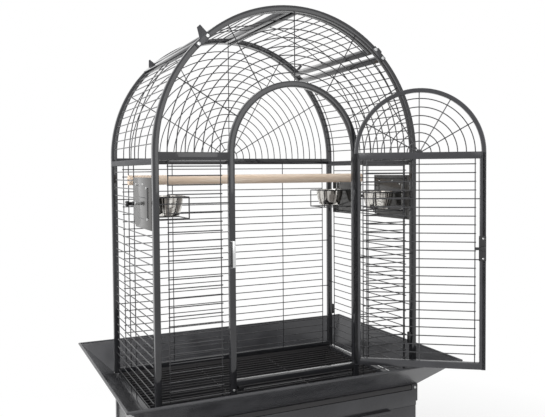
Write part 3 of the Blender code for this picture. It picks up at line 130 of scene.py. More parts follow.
class Desk:
    """One node tree, with a method that makes any node in it."""

    def __init__(self, tree):
        self.tree = tree

    def node(self, kind, settings=None, feeds=None, out=0):
        made = self.tree.nodes.new(kind)
        for name, value in (settings or {}).items():
            setattr(made, name, value)
        for place, value in (feeds or {}).items():
            self.feed(made.inputs[place], value)
        return Signal(self, made.outputs[out]) if made.outputs else None

    def feed(self, socket, value):
        if isinstance(value, Signal):
            self.tree.links.new(value.socket, socket)
        else:
            socket.default_value = value

    def place(self, stretch=(1, 1, 1)):
        """Where a point of the surface is, in metres, stretched as asked."""
        spot = self.node("ShaderNodeTexCoord", out=3)
        return self.node("ShaderNodeMapping", {}, {"Vector": spot, "Scale": stretch})

    def noise(self, size, stretch=(1, 1, 1), detail=2.0):
        """Soft random cloud whose blobs are about size metres wide."""
        return self.node("ShaderNodeTexNoise", {}, {
            "Vector": self.place(stretch), "Scale": 1 / size, "Detail": detail,
        })

    def spread(self, value, low, high, new_low, new_high):
        """Maps low to high onto new_low to new_high, and stops at both ends."""
        return self.node("ShaderNodeMapRange", {}, {
            0: value, 1: low, 2: high, 3: new_low, 4: new_high,
        })

    def between(self, share, first, second):
        """A colour part of the way from the first to the second."""
        return self.node("ShaderNodeMix", {"data_type": "RGBA"}, {
            0: share, 6: (*first, 1) if isinstance(first, tuple) else first,
            7: (*second, 1) if isinstance(second, tuple) else second,
        }, out=2)


print("shader helpers ready")

# %% [markdown]
# ## The studio
# The photograph has a pure white background and soft light that comes mainly from the left. A
# white floor and a white world give that. The world looks white to the camera and in reflections,
# and lights the cage more gently than it looks, through the Light Path node. The floor is plain
# pale paint near the cage, where the shadow falls, and turns as white as the world further out.
# Large area lamps give soft edges to the shadows.

# %% White world
scene = bpy.context.scene
scene.view_settings.view_transform = "Standard"

world = bpy.data.worlds.new("white_studio")
world.use_nodes = True
scene.world = world
world.node_tree.nodes.clear()
desk = Desk(world.node_tree)


def seen_directly(desk):
    """1 for rays from the camera, off a shiny surface or through glass, else 0."""
    kinds = [desk.node("ShaderNodeLightPath", out=name) for name in (
        "Is Camera Ray", "Is Glossy Ray", "Is Transmission Ray",
    )]
    return desk.node("ShaderNodeMath", {"operation": "ADD", "use_clamp": True}, {
        0: kinds[0] + kinds[1], 1: kinds[2],
    })


WHITE = (1, 1, 1, 1)
WORLD_LIGHT = 0.36
glow = desk.node("ShaderNodeBackground", {}, {"Color": WHITE, "Strength": WORLD_LIGHT})
white = desk.node("ShaderNodeBackground", {}, {"Color": WHITE, "Strength": 1.0})
mixed = desk.node("ShaderNodeMixShader", {}, {0: seen_directly(desk), 1: glow, 2: white})
desk.node("ShaderNodeOutputWorld", {}, {"Surface": mixed})
print("world light", WORLD_LIGHT)

# %% White floor that keeps the shadow
FLOOR_HALF = 12.0
FLOOR_PAINT = (0.92, 0.92, 0.92, 1)
FLOOR_GLOW = 0.34
SHADOW_REACH, WHITE_REACH = 0.9, 1.9

floor_mesh = bpy.data.meshes.new("studio_floor")
bm = bmesh.new()
bmesh.ops.create_grid(bm, x_segments=1, y_segments=1, size=FLOOR_HALF)
bm.to_mesh(floor_mesh)
bm.free()
studio_floor = bpy.data.objects.new("studio_floor", floor_mesh)
scene.collection.objects.link(studio_floor)
studio_floor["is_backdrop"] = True

floor_white = bpy.data.materials.new("floor_white")
floor_white.use_nodes = True
floor_white.node_tree.nodes.clear()
desk = Desk(floor_white.node_tree)
seen = seen_directly(desk)
matt = desk.node("ShaderNodeBsdfDiffuse", {}, {"Color": FLOOR_PAINT})
lift = desk.node("ShaderNodeEmission", {}, {"Color": WHITE, "Strength": seen * FLOOR_GLOW})
near = desk.node("ShaderNodeAddShader", {}, {0: matt, 1: lift})
far = desk.node("ShaderNodeEmission", {}, {"Color": WHITE, "Strength": 1.0})
distance = desk.node("ShaderNodeVectorMath", {"operation": "LENGTH"}, {0: desk.place()}, out=1)
share = desk.spread(distance, SHADOW_REACH, WHITE_REACH, 0, 1)
surface = desk.node("ShaderNodeMixShader", {}, {0: share * seen, 1: near, 2: far})
desk.node("ShaderNodeOutputMaterial", {}, {"Surface": surface})
floor_mesh.materials.append(floor_white)
print("floor", 2 * FLOOR_HALF, "m wide")

# %% Soft lamps
LAMP_AIM = Vector((0, 0, 1.0))
LAMPS = {
    "lamp_left": ((-2.7, -0.9, 2.2), 1.8, 56),
    "lamp_above": ((-0.3, 0.2, 3.5), 2.0, 36),
    "lamp_front": ((0.9, -3.4, 1.9), 1.8, 16),
}
for name, (place, size, power) in LAMPS.items():
    light = bpy.data.lights.new(name, "AREA")
    light.size = size
    light.energy = power
    lamp = bpy.data.objects.new(name, light)
    scene.collection.objects.link(lamp)
    lamp.location = place
    lamp.rotation_euler = (LAMP_AIM - Vector(place)).to_track_quat("-Z", "Y").to_euler()
    print(name, power, "W")

# %% [markdown]
# ## Charcoal powder coat
# The tubes are sprayed with dark grey powder and baked. Close up, such a coat isn't smooth: it has
# a fine orange peel and tiny lighter flecks. A flat colour would look like plastic, so two noises
# are used. The small one makes the flecks and the bump, the large one lets colour and shine wander
# a little along a tube.
# Three more coats are variants of the charcoal, tuned to the photograph. The gloss coat is
# for the frames, roof edges and flaps, whose tubes shine at a glancing angle. The matt coat is for
# the side rails, which stay dull. The darker coat has painted shade in its colour and is for the
# grate and the inside of the base, which lie in shade and look darker than the tubes.

# %% Start a finish
def new_finish(name):
    """A material with its desk and its Principled shader."""
    material = bpy.data.materials.new(name)
    material.use_nodes = True
    return material, Desk(material.node_tree), material.node_tree.nodes["Principled BSDF"]


def dress(desk, shader, colour, roughness, strength, depth, height):
    """Feeds a shader its colour, its roughness and a bump that is depth metres high."""
    desk.feed(shader.inputs["Base Color"], colour)
    desk.feed(shader.inputs["Roughness"], roughness)
    desk.feed(shader.inputs["Normal"], desk.node("ShaderNodeBump", {}, {
        "Strength": strength, "Distance": depth, "Height": height,
    }))


print("ready to start a finish")

# %% Powder coats
CLOUD_SIZE = 0.09
SHINE_RANGE = 0.12
PEEL_STRENGTH, PEEL_DEPTH = 0.10, 0.0003
COAT_ROUGHNESS = 0.05
# For each coat: its material, the dark and the light colour, the size of its flecks, its roughness
# at the shiniest, how metallic it is, and how much clear gloss lies on top.
COATS = {
    "charcoal_paint": (
        "charcoal_powder_coat", (0.031, 0.031, 0.034), (0.068, 0.069, 0.076), 0.0016, 0.15, 0.14),
    "charcoal_wire": (
        "charcoal_wire_coat", (0.028, 0.028, 0.030), (0.058, 0.058, 0.063), 0.0011, 0.20, 0.12),
    "grey_plate": (
        "sheet_plate_coat", (0.054, 0.052, 0.050), (0.096, 0.093, 0.089), 0.0014, 0.12, 0.16),
    "gloss_coat": (
        "gloss_powder_coat", (0.017, 0.017, 0.019), (0.040, 0.041, 0.046), 0.0016, 0.15, 0.06, 0.9),
    "matt_coat": (
        "matt_powder_coat", (0.031, 0.031, 0.034), (0.068, 0.069, 0.076), 0.0016, 0.50, 0.0),
    # A darker copy of the charcoal, with painted shade in its colour, for places in the shade of
    # the cage.
    "painted_shade_coat": (
        "painted_shade_powder_coat", (0.016, 0.015, 0.016), (0.034, 0.032, 0.034), 0.0013, 0.58, 0.0),
}


def powder_coat(name, dark, light, fleck_size, shine, metal, gloss=0.0):
    """Baked powder: flecked colour, wandering shine, an orange peel bump and a clear gloss."""
    material, desk, shader = new_finish(name)
    fleck = desk.noise(fleck_size, detail=3.0)
    cloud = desk.noise(CLOUD_SIZE, detail=2.0)
    share = desk.spread(fleck, 0.42, 0.66, 0.0, 0.40) + desk.spread(cloud, 0.35, 0.65, 0.15, 0.45)
    peel = desk.noise(fleck_size * 1.8, detail=1.0)
    dress(desk, shader, desk.between(share, dark, light),
          desk.spread(cloud, 0.3, 0.7, shine, shine + SHINE_RANGE),
          PEEL_STRENGTH, PEEL_DEPTH, peel * 0.7 + fleck * 0.3)
    shader.inputs["Metallic"].default_value = metal
    shader.inputs["Specular IOR Level"].default_value = 0.5 - 0.42 * gloss
    shader.inputs["Coat Weight"].default_value = gloss
    shader.inputs["Coat Roughness"].default_value = COAT_ROUGHNESS
    return material


FINISH = {key: powder_coat(*values) for key, values in COATS.items()}
print("powder coats:", ", ".join(sorted(FINISH)))

# %% [markdown]
# ## Bright metal
# The bowls are spun from stainless steel and polished, so they carry very fine rings. The bolts
# are zinc plated and duller, with a faint cloud. Both are fully metallic. The rings come from a
# noise that is squeezed in height, so that it varies up the wall and not round it. A second noise,
# drawn out in height, paints upright bands. They stand in for the dark and light things that the
# bowls reflect in the photograph, because the studio here is white all round.

# %% Polished steel and zinc
material, desk, shader = new_finish("spun_steel")
rings = desk.noise(0.02, stretch=(0.6, 0.6, 60), detail=3.0)
bands = desk.spread(desk.noise(0.016, stretch=(1, 1, 0.05), detail=1.0), 0.42, 0.58, 0, 1)
dress(desk, shader, desk.between(bands, (0.20, 0.185, 0.17), (0.74, 0.72, 0.68)),
      desk.spread(rings, 0.3, 0.7, 0.07, 0.13), 0.02, 0.0002, rings)
shader.inputs["Metallic"].default_value = 1.0
FINISH["polished_steel"] = material

material, desk, shader = new_finish("zinc_plating")
cloud = desk.noise(0.004, detail=4.0)
dress(desk, shader, desk.between(cloud, (0.46, 0.47, 0.48), (0.68, 0.68, 0.67)),
      desk.spread(cloud, 0.3, 0.7, 0.20, 0.36), 0.12, 0.0002, cloud)
shader.inputs["Metallic"].default_value = 1.0
FINISH["zinc_bolt"] = material
print("metals ready")

# %% [markdown]
# ## Wood, plastic and rubber
# The perch is a pale hardwood dowel. Wood grain runs along the stick, so its noise is stretched
# along X, and thin darker pores are cut out of a finer one. Black plastic has a fine moulded
# texture, and tyre rubber is greyer, rougher and dusty.

# %% Pale wood
material, desk, shader = new_finish("pale_dowel_wood")
grain = desk.noise(0.012, stretch=(0.06, 1, 1), detail=4.0)
pores = desk.spread(desk.noise(0.0022, stretch=(0.05, 1, 1), detail=2.0), 0.56, 0.66, 0.0, 1.0)
tone = desk.between(desk.spread(grain, 0.35, 0.65, 0, 1), (0.84, 0.65, 0.49), (0.95, 0.80, 0.66))
dress(desk, shader, desk.between(pores * 0.30, tone, (0.58, 0.42, 0.28)),
      desk.spread(grain, 0.3, 0.7, 0.50, 0.66), 0.2, 0.0004, grain * 0.6 - pores * 0.4)
FINISH["pale_wood"] = material
print("wood ready")

# %% Plastic and rubber
def moulded(name, dark, light, grit, low_shine, high_shine):
    """Moulded plastic or rubber: an even colour with fine grit in it."""
    material, desk, shader = new_finish(name)
    fine = desk.noise(grit, detail=3.0)
    broad = desk.noise(0.03, detail=2.0)
    dress(desk, shader, desk.between(fine * 0.4 + broad * 0.6, dark, light),
          desk.spread(broad, 0.3, 0.7, low_shine, high_shine), 0.2, 0.0003, fine)
    return material


FINISH["black_plastic"] = moulded(
    "black_moulding", (0.010, 0.010, 0.011), (0.028, 0.028, 0.030), 0.0012, 0.30, 0.42
)
FINISH["grey_rubber"] = moulded(
    "tyre_rubber", (0.07, 0.07, 0.075), (0.14, 0.138, 0.135), 0.0018, 0.62, 0.80
)
print("finishes:", ", ".join(sorted(FINISH)))

# %% [markdown]
# ## Tools for tube
# Square steel tube has small round corners that catch the light, which is what the eye reads as
# metal tube. A straight tube is a cube with its edges bevelled. A bent one starts from its cut
# end, a square with bevelled corners, which is pushed straight up and then spun about the
# springing line, as a tube bender does.

# %% Shared sizes
CAGE_BACK = 0.0772
HALF_X, HALF_Y = 0.4515, 0.2925
TUBE = 0.018
IN_X, IN_Y = HALF_X - TUBE, HALF_Y - TUBE
MID_X, MID_Y = HALF_X - TUBE / 2, HALF_Y - TUBE / 2
SPRING_Z = 1.2485
FRAME_BOTTOM = 0.4693
WALL_FLOOR = FRAME_BOTTOM + TUBE
CORNER = 0.0024
# How far a tube and a wire run into what they are welded to, and two clearances.
WELD, BITE = 0.003, 0.001
GAP, HAIR = 0.0003, 0.0002
SIDES = (("left", -1), ("right", 1))
print("cage", 2 * HALF_X, "by", 2 * HALF_Y, "m, springing at", SPRING_Z)

# %% Straight tubes
def round_off(bm, geom, width, steps=2, affect="EDGES"):
    """Bevels edges or corners to a round of some width."""
    return bmesh.ops.bevel(
        bm, geom=geom, offset=width, affect=affect, segments=steps, profile=0.5, material=-1
    )


def bar(bm, low, high, soft=CORNER, turn=Matrix(), steps=2):
    """A bar with rounded edges between two corners, turned as asked."""
    low, high = Vector(low), Vector(high)
    size = high - low
    place = turn @ Matrix.Translation((low + high) / 2) @ Matrix.Diagonal((*size, 1))
    cube = bmesh.ops.create_cube(bm, size=1, matrix=place)
    edges = list(dict.fromkeys(edge for vert in cube["verts"] for edge in vert.link_edges))
    round_off(bm, edges, min(soft, 0.42 * min(size)), steps)


def strut(bm, start, end, out):
    """A tube from start to end, with two of its faces square to the direction out."""
    run = (end - start).normalized()
    side = (out - run * run.dot(out)).normalized()
    turn = Matrix((side.cross(run), side, run)).transposed().to_4x4()
    half = Vector((TUBE, TUBE, (end - start).length)) / 2
    bar(bm, -half, half, CORNER, Matrix.Translation((start + end) / 2) @ turn)


def across(bm, half, low, high, soft=CORNER, steps=2):
    """A bar that runs from left to right by half on each side, between two (y, z) corners."""
    bar(bm, (-half, *low), (half, *high), soft, steps=steps)


def beside(bm, side, inner, outer, low, high, soft=CORNER):
    """A bar on one side of the middle, from inner to outer, between two (y, z) corners."""
    left, right = sorted((side * inner, side * outer))
    bar(bm, (left, *low), (right, *high), soft)


def twins(bm, inner, outer, low, high, soft=CORNER):
    """The same bar on the left and on the right."""
    for _, side in SIDES:
        beside(bm, side, inner, outer, low, high, soft)


print("straight tubes ready")

# %% Bent tubes
HOOP_STEPS = 72
DEGREES_A_STEP = 3


def cut_end(bm, inner, outer, low_y, high_y):
    """The cut end of a tube at the springing: a level face with rounded corners."""
    place = Matrix.Translation(((inner + outer) / 2, (low_y + high_y) / 2, SPRING_Z))
    size = Matrix.Diagonal((outer - inner, high_y - low_y, 1, 1))
    grid = bmesh.ops.create_grid(bm, x_segments=1, y_segments=1, size=0.5, matrix=place @ size)
    return round_off(bm, grid["verts"], CORNER, affect="VERTICES")["verts"][0].link_faces[0]


def push(bm, face, move):
    """Extrudes a face and returns the new end."""
    grown = bmesh.ops.extrude_face_region(bm, geom=[face])["geom"]
    bmesh.ops.translate(bm, vec=move, verts=[v for v in grown if isinstance(v, bmesh.types.BMVert)])
    return next(f for f in grown if isinstance(f, bmesh.types.BMFace))


def bend(bm, face, degrees, steps):
    """Sweeps a face about the springing line and returns the new end."""
    swept = bmesh.ops.spin(
        bm, geom=[*face.verts, *face.edges, face], cent=(0, 0, SPRING_Z), axis=(0, -1, 0),
        angle=math.radians(degrees), steps=steps,
    )["geom_last"]
    return next(f for f in swept if isinstance(f, bmesh.types.BMFace))


def turn_to(bm, face, degrees):
    """Turns a face about the springing line before it is swept."""
    bmesh.ops.rotate(
        bm, verts=face.verts, cent=(0, 0, SPRING_Z),
        matrix=Matrix.Rotation(math.radians(-degrees), 3, "Y"),
    )


def hoop(bm, inner, outer, low_y, high_y, foot):
    """Two posts and the half circle over them, bent from one tube."""
    face = cut_end(bm, inner, outer, low_y, high_y)
    bmesh.ops.translate(bm, vec=(0, 0, foot - SPRING_Z), verts=face.verts)
    face = push(bm, face, (0, 0, SPRING_Z - foot))
    face = bend(bm, face, 180, HOOP_STEPS)
    push(bm, face, (0, 0, foot - SPRING_Z))


def arc_tube(bm, inner, outer, low_y, high_y, first, last):
    """A curved tube about the springing line, between two angles."""
    face = cut_end(bm, inner, outer, low_y, high_y)
    turn_to(bm, face, first)
    bend(bm, face, last - first, max(4, math.ceil(abs(last - first) / DEGREES_A_STEP)))


print("bent tubes ready")

# %% [markdown]
# ## Tools for wire and turned pieces
# A wire is a thin capped cylinder of eight sides. That is round enough at its size and keeps
# hundreds of wires light. A curved wire is a small disc swept round. Knobs, bowls, bolts and
# wheels are turned on a lathe in real life, so here a profile is spun a full circle.

# %% Wires
WIRE = 0.0034
LAYER = 0.00178
WIRE_SIDES = 8
WIRE_DEGREES_A_STEP = 4


def wire(bm, start, end, radius=WIRE / 2, sides=WIRE_SIDES):
    """A straight round wire."""
    start, end = Vector(start), Vector(end)
    turn = (end - start).to_track_quat("Z", "Y").to_matrix().to_4x4()
    bmesh.ops.create_cone(
        bm, cap_ends=True, segments=sides, radius1=radius, radius2=radius,
        depth=(end - start).length, matrix=Matrix.Translation((start + end) / 2) @ turn,
    )


def arc_wire(bm, reach, y, first, last):
    """A round wire that follows a circle about the springing line."""
    disc = bmesh.ops.create_circle(
        bm, cap_ends=True, segments=WIRE_SIDES, radius=WIRE / 2,
        matrix=Matrix.Translation((reach, y, SPRING_Z)),
    )
    face = disc["verts"][0].link_faces[0]
    turn_to(bm, face, first)
    bend(bm, face, last - first, max(4, math.ceil(abs(last - first) / WIRE_DEGREES_A_STEP)))


def bent_wire(bm, points, radius):
    """A wire through several points, with a ball at each bend to close it."""
    for start, end in zip(points, points[1:]):
        wire(bm, start, end, radius)
    for point in points[1:-1]:
        bmesh.ops.create_uvsphere(
            bm, u_segments=WIRE_SIDES, v_segments=6, radius=radius,
            matrix=Matrix.Translation(point),
        )


print("wire", WIRE, "m thick")

# %% Turned pieces
def turned(bm, profile, place, steps):
    """Spins (radius, height) points a full circle about Z and adds the piece to bm."""
    part = bmesh.new()
    verts = [part.verts.new((radius, 0, height)) for radius, height in profile]
    edges = [part.edges.new(pair) for pair in zip(verts, verts[1:])]
    bmesh.ops.spin(
        part, geom=verts + edges, cent=(0, 0, 0), axis=(0, 0, 1), angle=math.tau, steps=steps,
        use_merge=True,
    )
    bmesh.ops.remove_doubles(part, verts=part.verts, dist=0.00002)
    bmesh.ops.recalc_face_normals(part, faces=part.faces)
    bmesh.ops.transform(part, matrix=place, verts=part.verts)
    scratch = bpy.data.meshes.new("scratch")
    part.to_mesh(scratch)
    part.free()
    bm.from_mesh(scratch)
    bpy.data.meshes.remove(scratch)


def facing(point, direction):
    """A place at a point, with Z along the direction."""
    turn = Vector(direction).to_track_quat("Z", "Y").to_matrix().to_4x4()
    return Matrix.Translation(point) @ turn


def bolt(bm, point, direction, radius, height):
    """A domed screw head with a round socket in it."""
    profile = [
        (0, 0.45 * height), (0.36 * radius, 0.45 * height), (0.42 * radius, 0.98 * height),
        (0.66 * radius, height), (0.88 * radius, 0.78 * height), (radius, 0.35 * height),
        (radius, 0), (0, 0),
    ]
    turned(bm, profile, facing(point, direction), 20)


print("lathe tools ready")

# %% Put a finished shape in the scene, tied to its body
def settle(bm, name, body, slot, nodes=(), turn=Matrix(), smooth=32, coat=None):
    """Puts a shape in its place, paints it, ties it to its body and hides its CAD nodes.

    The coat is that of the slot unless another one is named.
    """
    bmesh.ops.transform(bm, matrix=Matrix.Translation((0, CAGE_BACK, 0)) @ turn, verts=bm.verts)
    bmesh.ops.recalc_face_normals(bm, faces=bm.faces)
    mesh = bpy.data.meshes.new(name)
    bm.to_mesh(mesh)
    bm.free()
    mesh.shade_smooth()
    mesh.set_sharp_from_angle(angle=math.radians(smooth))
    mesh.materials.append(FINISH[coat or slot])
    piece = bpy.data.objects.new(name, mesh)
    scene.collection.objects.link(piece)
    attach(piece, body)
    if nodes:
        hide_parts(*nodes)
    print(name, "-", len(mesh.polygons), "faces")
    return piece


print("ready to settle pieces")

# %% [markdown]
# ## Front frame
# The front of the cage is a hoop of tube with a smaller hoop, the doorway, inside it. Level tubes
# join the two at the springing and at the floor, and thin rods close the gap under the door.
# Each tube runs a little way into the next, which hides the rounded ends as a weld does.

# %% Front frame tubes
CROSSBAR_LOW, CROSSBAR_TOP = 1.2275, 1.2515
JAMB_INNER, JAMB_OUTER = 0.2043, 0.2230
SILL_TOP = 0.5710
SILL_RODS, ROD = (0.5118, 0.5383), 0.0021

bm = bmesh.new()
hoop(bm, IN_X, HALF_X, -HALF_Y, -IN_Y, FRAME_BOTTOM)
hoop(bm, JAMB_INNER, JAMB_OUTER, -HALF_Y, -IN_Y, WALL_FLOOR - WELD)
across(bm, IN_X + WELD, (-HALF_Y, FRAME_BOTTOM), (-IN_Y, WALL_FLOOR))
across(bm, JAMB_INNER + WELD, (-HALF_Y, SILL_TOP - TUBE), (-IN_Y, SILL_TOP))
twins(bm, JAMB_OUTER - WELD, IN_X + WELD, (-HALF_Y, CROSSBAR_LOW), (-IN_Y, CROSSBAR_TOP))
for z in SILL_RODS:
    wire(bm, (-JAMB_INNER - WELD, -MID_Y, z), (JAMB_INNER + WELD, -MID_Y, z), ROD)
settle(bm, "front_frame_tubes", "cage", "charcoal_paint", ["front_frame"], coat="gloss_coat")

# %% Hinge lugs and pins on the right jamb
DOOR_AXIS_X, DOOR_AXIS_Y = 0.2034, -0.2965
HINGE_HEIGHTS = (1.1110, 0.7110)
PIN, PIN_FOOT, PIN_TIP = 0.0016, 0.005, 0.024
LUG_HIGH = 0.010

bm = bmesh.new()
for z in HINGE_HEIGHTS:
    low = (DOOR_AXIS_X - PIN, DOOR_AXIS_Y - 0.0025, z - LUG_HIGH)
    bar(bm, low, (DOOR_AXIS_X + 0.0045, -HALF_Y + WELD, z - GAP), 0.0012)
    axis = (DOOR_AXIS_X, DOOR_AXIS_Y)
    wire(bm, (*axis, z - PIN_FOOT), (*axis, z + PIN_TIP), PIN, 12)
settle(bm, "door_hinge_lugs", "cage", "charcoal_paint")

# %% [markdown]
# ## Back frame, side rails and roof edges
# The back is the same hoop with one tube across it. Two rails join front and back at the
# springing, and two more tubes lie along the roof where the opening flaps begin. Those roof tubes
# are square to the curve, so they are turned to face out from its middle.

# %% Back hoop and the tubes from front to back
BACK_BAR_LOW, BACK_BAR_TOP = 1.2230, 1.2455
SIDE_RAIL_LOW, SIDE_RAIL_TOP = 1.2160, 1.2340
ROOF_EDGE, FLAP_EDGE, FLAP_RIDGE = 44.8, 49.6, 88.1


def polar(side, angle, radius, y):
    """A point on the roof: the angle runs up from the springing, on either side."""
    turn = math.radians(angle)
    return Vector((side * radius * math.cos(turn), y, SPRING_Z + radius * math.sin(turn)))


def outward(side, angle):
    """The direction that points out of the roof at an angle."""
    return Vector((side * math.cos(math.radians(angle)), 0, math.sin(math.radians(angle))))


def along_roof(side, angle, radius, reach):
    """The two ends of a line from front to back on the roof."""
    return polar(side, angle, radius, -reach), polar(side, angle, radius, reach)


bm = bmesh.new()
hoop(bm, IN_X, HALF_X, IN_Y, HALF_Y, FRAME_BOTTOM)
across(bm, IN_X + WELD, (IN_Y, FRAME_BOTTOM), (HALF_Y, WALL_FLOOR))
across(bm, IN_X + WELD, (IN_Y, BACK_BAR_LOW), (HALF_Y, BACK_BAR_TOP))
settle(bm, "back_frame_tubes", "cage", "charcoal_paint", ["back_frame"], coat="gloss_coat")

reach = IN_Y + WELD
for name, side in SIDES:
    bm = bmesh.new()
    beside(bm, side, IN_X, HALF_X, (-reach, SIDE_RAIL_LOW), (reach, SIDE_RAIL_TOP))
    settle(bm, "side_rail_tube_" + name, "cage", "charcoal_paint", ["side_rail_" + name],
           coat="matt_coat")
    bm = bmesh.new()
    strut(bm, *along_roof(side, ROOF_EDGE, MID_X, reach), outward(side, ROOF_EDGE))
    settle(bm, "roof_edge_tube_" + name, "cage", "charcoal_paint", ["roof_edge_" + name],
           coat="gloss_coat")

# %% [markdown]
# ## Wire walls
# A wall of a bird cage is a row of level wires, 27 mm apart, laid over a few uprights and welded
# where they cross. Every seventh level wire is longer and is welded to the posts. One function
# lays both layers, and each wall only says where its wires begin and end.

# %% Lay a wall of wire
WIRE_PITCH = 0.027
FIRST_ROW = 1.2110
ROW_COUNT = 27
BACK_ROWS, SIDE_ROWS, DOOR_ROWS = -0.006, -0.0155, 0.0022


def rows_of(shift, long_ends, short_ends, first_long=4, count=ROW_COUNT):
    """Rows of (height, start, end), shifted in height, where every seventh has the long ends."""
    return [
        (FIRST_ROW - WIRE_PITCH * k + shift, *(long_ends if k % 7 == first_long else short_ends))
        for k in range(count)
    ]


def wall_of_wire(bm, rows, columns, at):
    """Rows of (height, start, end) outside, and columns of (place, low, high) inside."""
    for v, start, end in rows:
        wire(bm, at(start, v, LAYER), at(end, v, LAYER))
    for u, low, high in columns:
        wire(bm, at(u, low, -LAYER), at(u, high, -LAYER))


print(ROW_COUNT, "rows of wire,", WIRE_PITCH, "m apart")

# %% Front panels
FRONT_COLUMNS = (0.2463, 0.4061)
for name, side in SIDES:
    bm = bmesh.new()
    rows = rows_of(
        0, (side * (JAMB_OUTER - WELD), side * (IN_X + WELD)),
        (side * (FRONT_COLUMNS[0] - WIRE), side * (FRONT_COLUMNS[1] + WIRE)),
    )
    columns = [(side * x, WALL_FLOOR - WELD, CROSSBAR_LOW + WELD) for x in FRONT_COLUMNS]
    wall_of_wire(bm, rows, columns, lambda x, z, lift: (x, -MID_Y - lift, z))
    settle(bm, "front_wires_" + name, "cage", "charcoal_wire", ["front_grille_" + name])

# %% Back panel
BACK_COLUMNS = (-0.4090, -0.2276, 0.0, 0.2276, 0.4090)
bm = bmesh.new()
long_half, short_half = IN_X + WELD, BACK_COLUMNS[-1] + WIRE
rows = rows_of(BACK_ROWS, (-long_half, long_half), (-short_half, short_half))
columns = [(x, WALL_FLOOR - WELD, BACK_BAR_LOW + WELD) for x in BACK_COLUMNS]
wall_of_wire(bm, rows, columns, lambda x, z, lift: (x, MID_Y + lift, z))
settle(bm, "back_wires", "cage", "charcoal_wire", ["back_grille"])

# %% Side panels, with an opening behind each feeder
OPENING_EDGE = 0.0605
SIDE_COLUMNS = (-0.2400, -0.0130, OPENING_EDGE, 0.2400)
BASE_TOP = 0.4690


def side_wall(name, side, feeder_ends):
    """A side wall. feeder_ends are -1 for an opening at the front and 1 for one at the back."""
    bm = bmesh.new()
    long_half, short_half = IN_Y + WELD, SIDE_COLUMNS[-1] + WIRE
    rows = rows_of(SIDE_ROWS, (-long_half, long_half), (-short_half, short_half), first_long=3)
    for k in range(2, 6):
        z, start, end = rows[k]
        start = -OPENING_EDGE - WIRE if -1 in feeder_ends else start
        end = OPENING_EDGE + WIRE if 1 in feeder_ends else end
        rows[k] = (z, start, end)
    columns = [(y, BASE_TOP + 2 * GAP, SIDE_RAIL_LOW + WELD) for y in SIDE_COLUMNS]
    columns.append((-OPENING_EDGE, rows[6][0] - WIRE, rows[1][0] + WIRE))
    wall_of_wire(bm, rows, columns, lambda y, z, lift: (side * (MID_X + lift), y, z))
    settle(bm, "side_wires_" + name, "cage", "charcoal_wire", ["side_grille_" + name])


side_wall("left", -1, (-1,))
side_wall("right", 1, (-1, 1))

# %% [markdown]
# ## Wire fans
# The arches are filled with half circles of wire, one inside the other, crossed by five spokes.
# Each half circle stops on the tube below it, so the angle where it starts depends on its own
# radius: a small circle has to start higher than a large one.

# %% Fans over the front and the back
SPOKES = (30, 60, 90, 120, 150)
FAN_PITCH = 0.0266
FRONT_RING, BACK_RING = 0.2485, 0.0340


def fan(bm, first, count, sill, spoke_start, spoke_end, out_y, in_y):
    """Half circles that stand on the level sill, and spokes behind them."""
    for k in range(count):
        radius = first + FAN_PITCH * k
        start = math.degrees(math.asin((sill - BITE - SPRING_Z) / radius))
        arc_wire(bm, radius, out_y, start, 180 - start)
    for angle in SPOKES:
        wire(bm, polar(1, angle, spoke_start, in_y), polar(1, angle, spoke_end, in_y))


bm = bmesh.new()
fan(bm, FRONT_RING, 7, CROSSBAR_TOP, JAMB_OUTER - WELD, IN_X + WELD, -MID_Y - LAYER, -MID_Y + LAYER)
settle(bm, "front_fan_wires", "cage", "charcoal_wire", ["front_fan"])

bm = bmesh.new()
fan(bm, BACK_RING, 15, BACK_BAR_TOP, 0.0306, IN_X + WELD, MID_Y + LAYER, MID_Y - LAYER)
settle(bm, "back_fan_wires", "cage", "charcoal_wire", ["back_fan"])

# %% [markdown]
# ## Roof
# The lower part of the roof is fixed, and its upper half opens as two flaps that are hinged low
# down and meet at the ridge. The long wires run from front to back and lie on four wires that
# follow the curve. A flap is a frame of its own: two curved tubes and two straight ones.

# %% Fixed roof wires
ROOF_STEP = 3.483
CURVED_WIRES = (-0.2400, -0.0300, 0.0415, 0.2400)
ROOF_FOOT = -1.9


def roof_of_wire(bm, side, angles, first, last, reach):
    """Long wires at some angles, over curved ones from the first angle to the last."""
    for angle in angles:
        wire(bm, *along_roof(side, angle, MID_X + LAYER, reach))
    for y in CURVED_WIRES:
        low, high = (first, last) if side > 0 else (180 - first, 180 - last)
        arc_wire(bm, MID_X - LAYER, y, low, high)


for name, side in SIDES:
    bm = bmesh.new()
    angles = [ROOF_STEP * k for k in range(1, 13)]
    roof_of_wire(bm, side, angles, ROOF_FOOT, ROOF_EDGE - 1, IN_Y + BITE)
    settle(bm, "roof_wires_" + name, "cage", "charcoal_wire", ["roof_grille_" + name])

# %% Opening flaps
FLAP_Y = 0.2730
for name, side in SIDES:
    body = "roof_flap_" + name
    bm = bmesh.new()
    first, last = (FLAP_EDGE, FLAP_RIDGE) if side > 0 else (180 - FLAP_EDGE, 180 - FLAP_RIDGE)
    for low_y, high_y in ((-FLAP_Y, TUBE - FLAP_Y), (FLAP_Y - TUBE, FLAP_Y)):
        arc_tube(bm, IN_X, HALF_X, low_y, high_y, first, last)
    for angle in (FLAP_EDGE, FLAP_RIDGE):
        strut(bm, *along_roof(side, angle, MID_X, FLAP_Y - HAIR), outward(side, angle))
    settle(bm, "flap_tubes_" + name, body, "charcoal_paint", ["flap_frame_" + name],
           coat="gloss_coat")
    bm = bmesh.new()
    angles = [FLAP_EDGE + 4 + ROOF_STEP * k for k in range(9)]
    roof_of_wire(bm, side, angles, FLAP_EDGE + 1, FLAP_RIDGE - 1, FLAP_Y - TUBE + BITE)
    settle(bm, "flap_wires_" + name, body, "charcoal_wire", ["flap_grille_" + name])

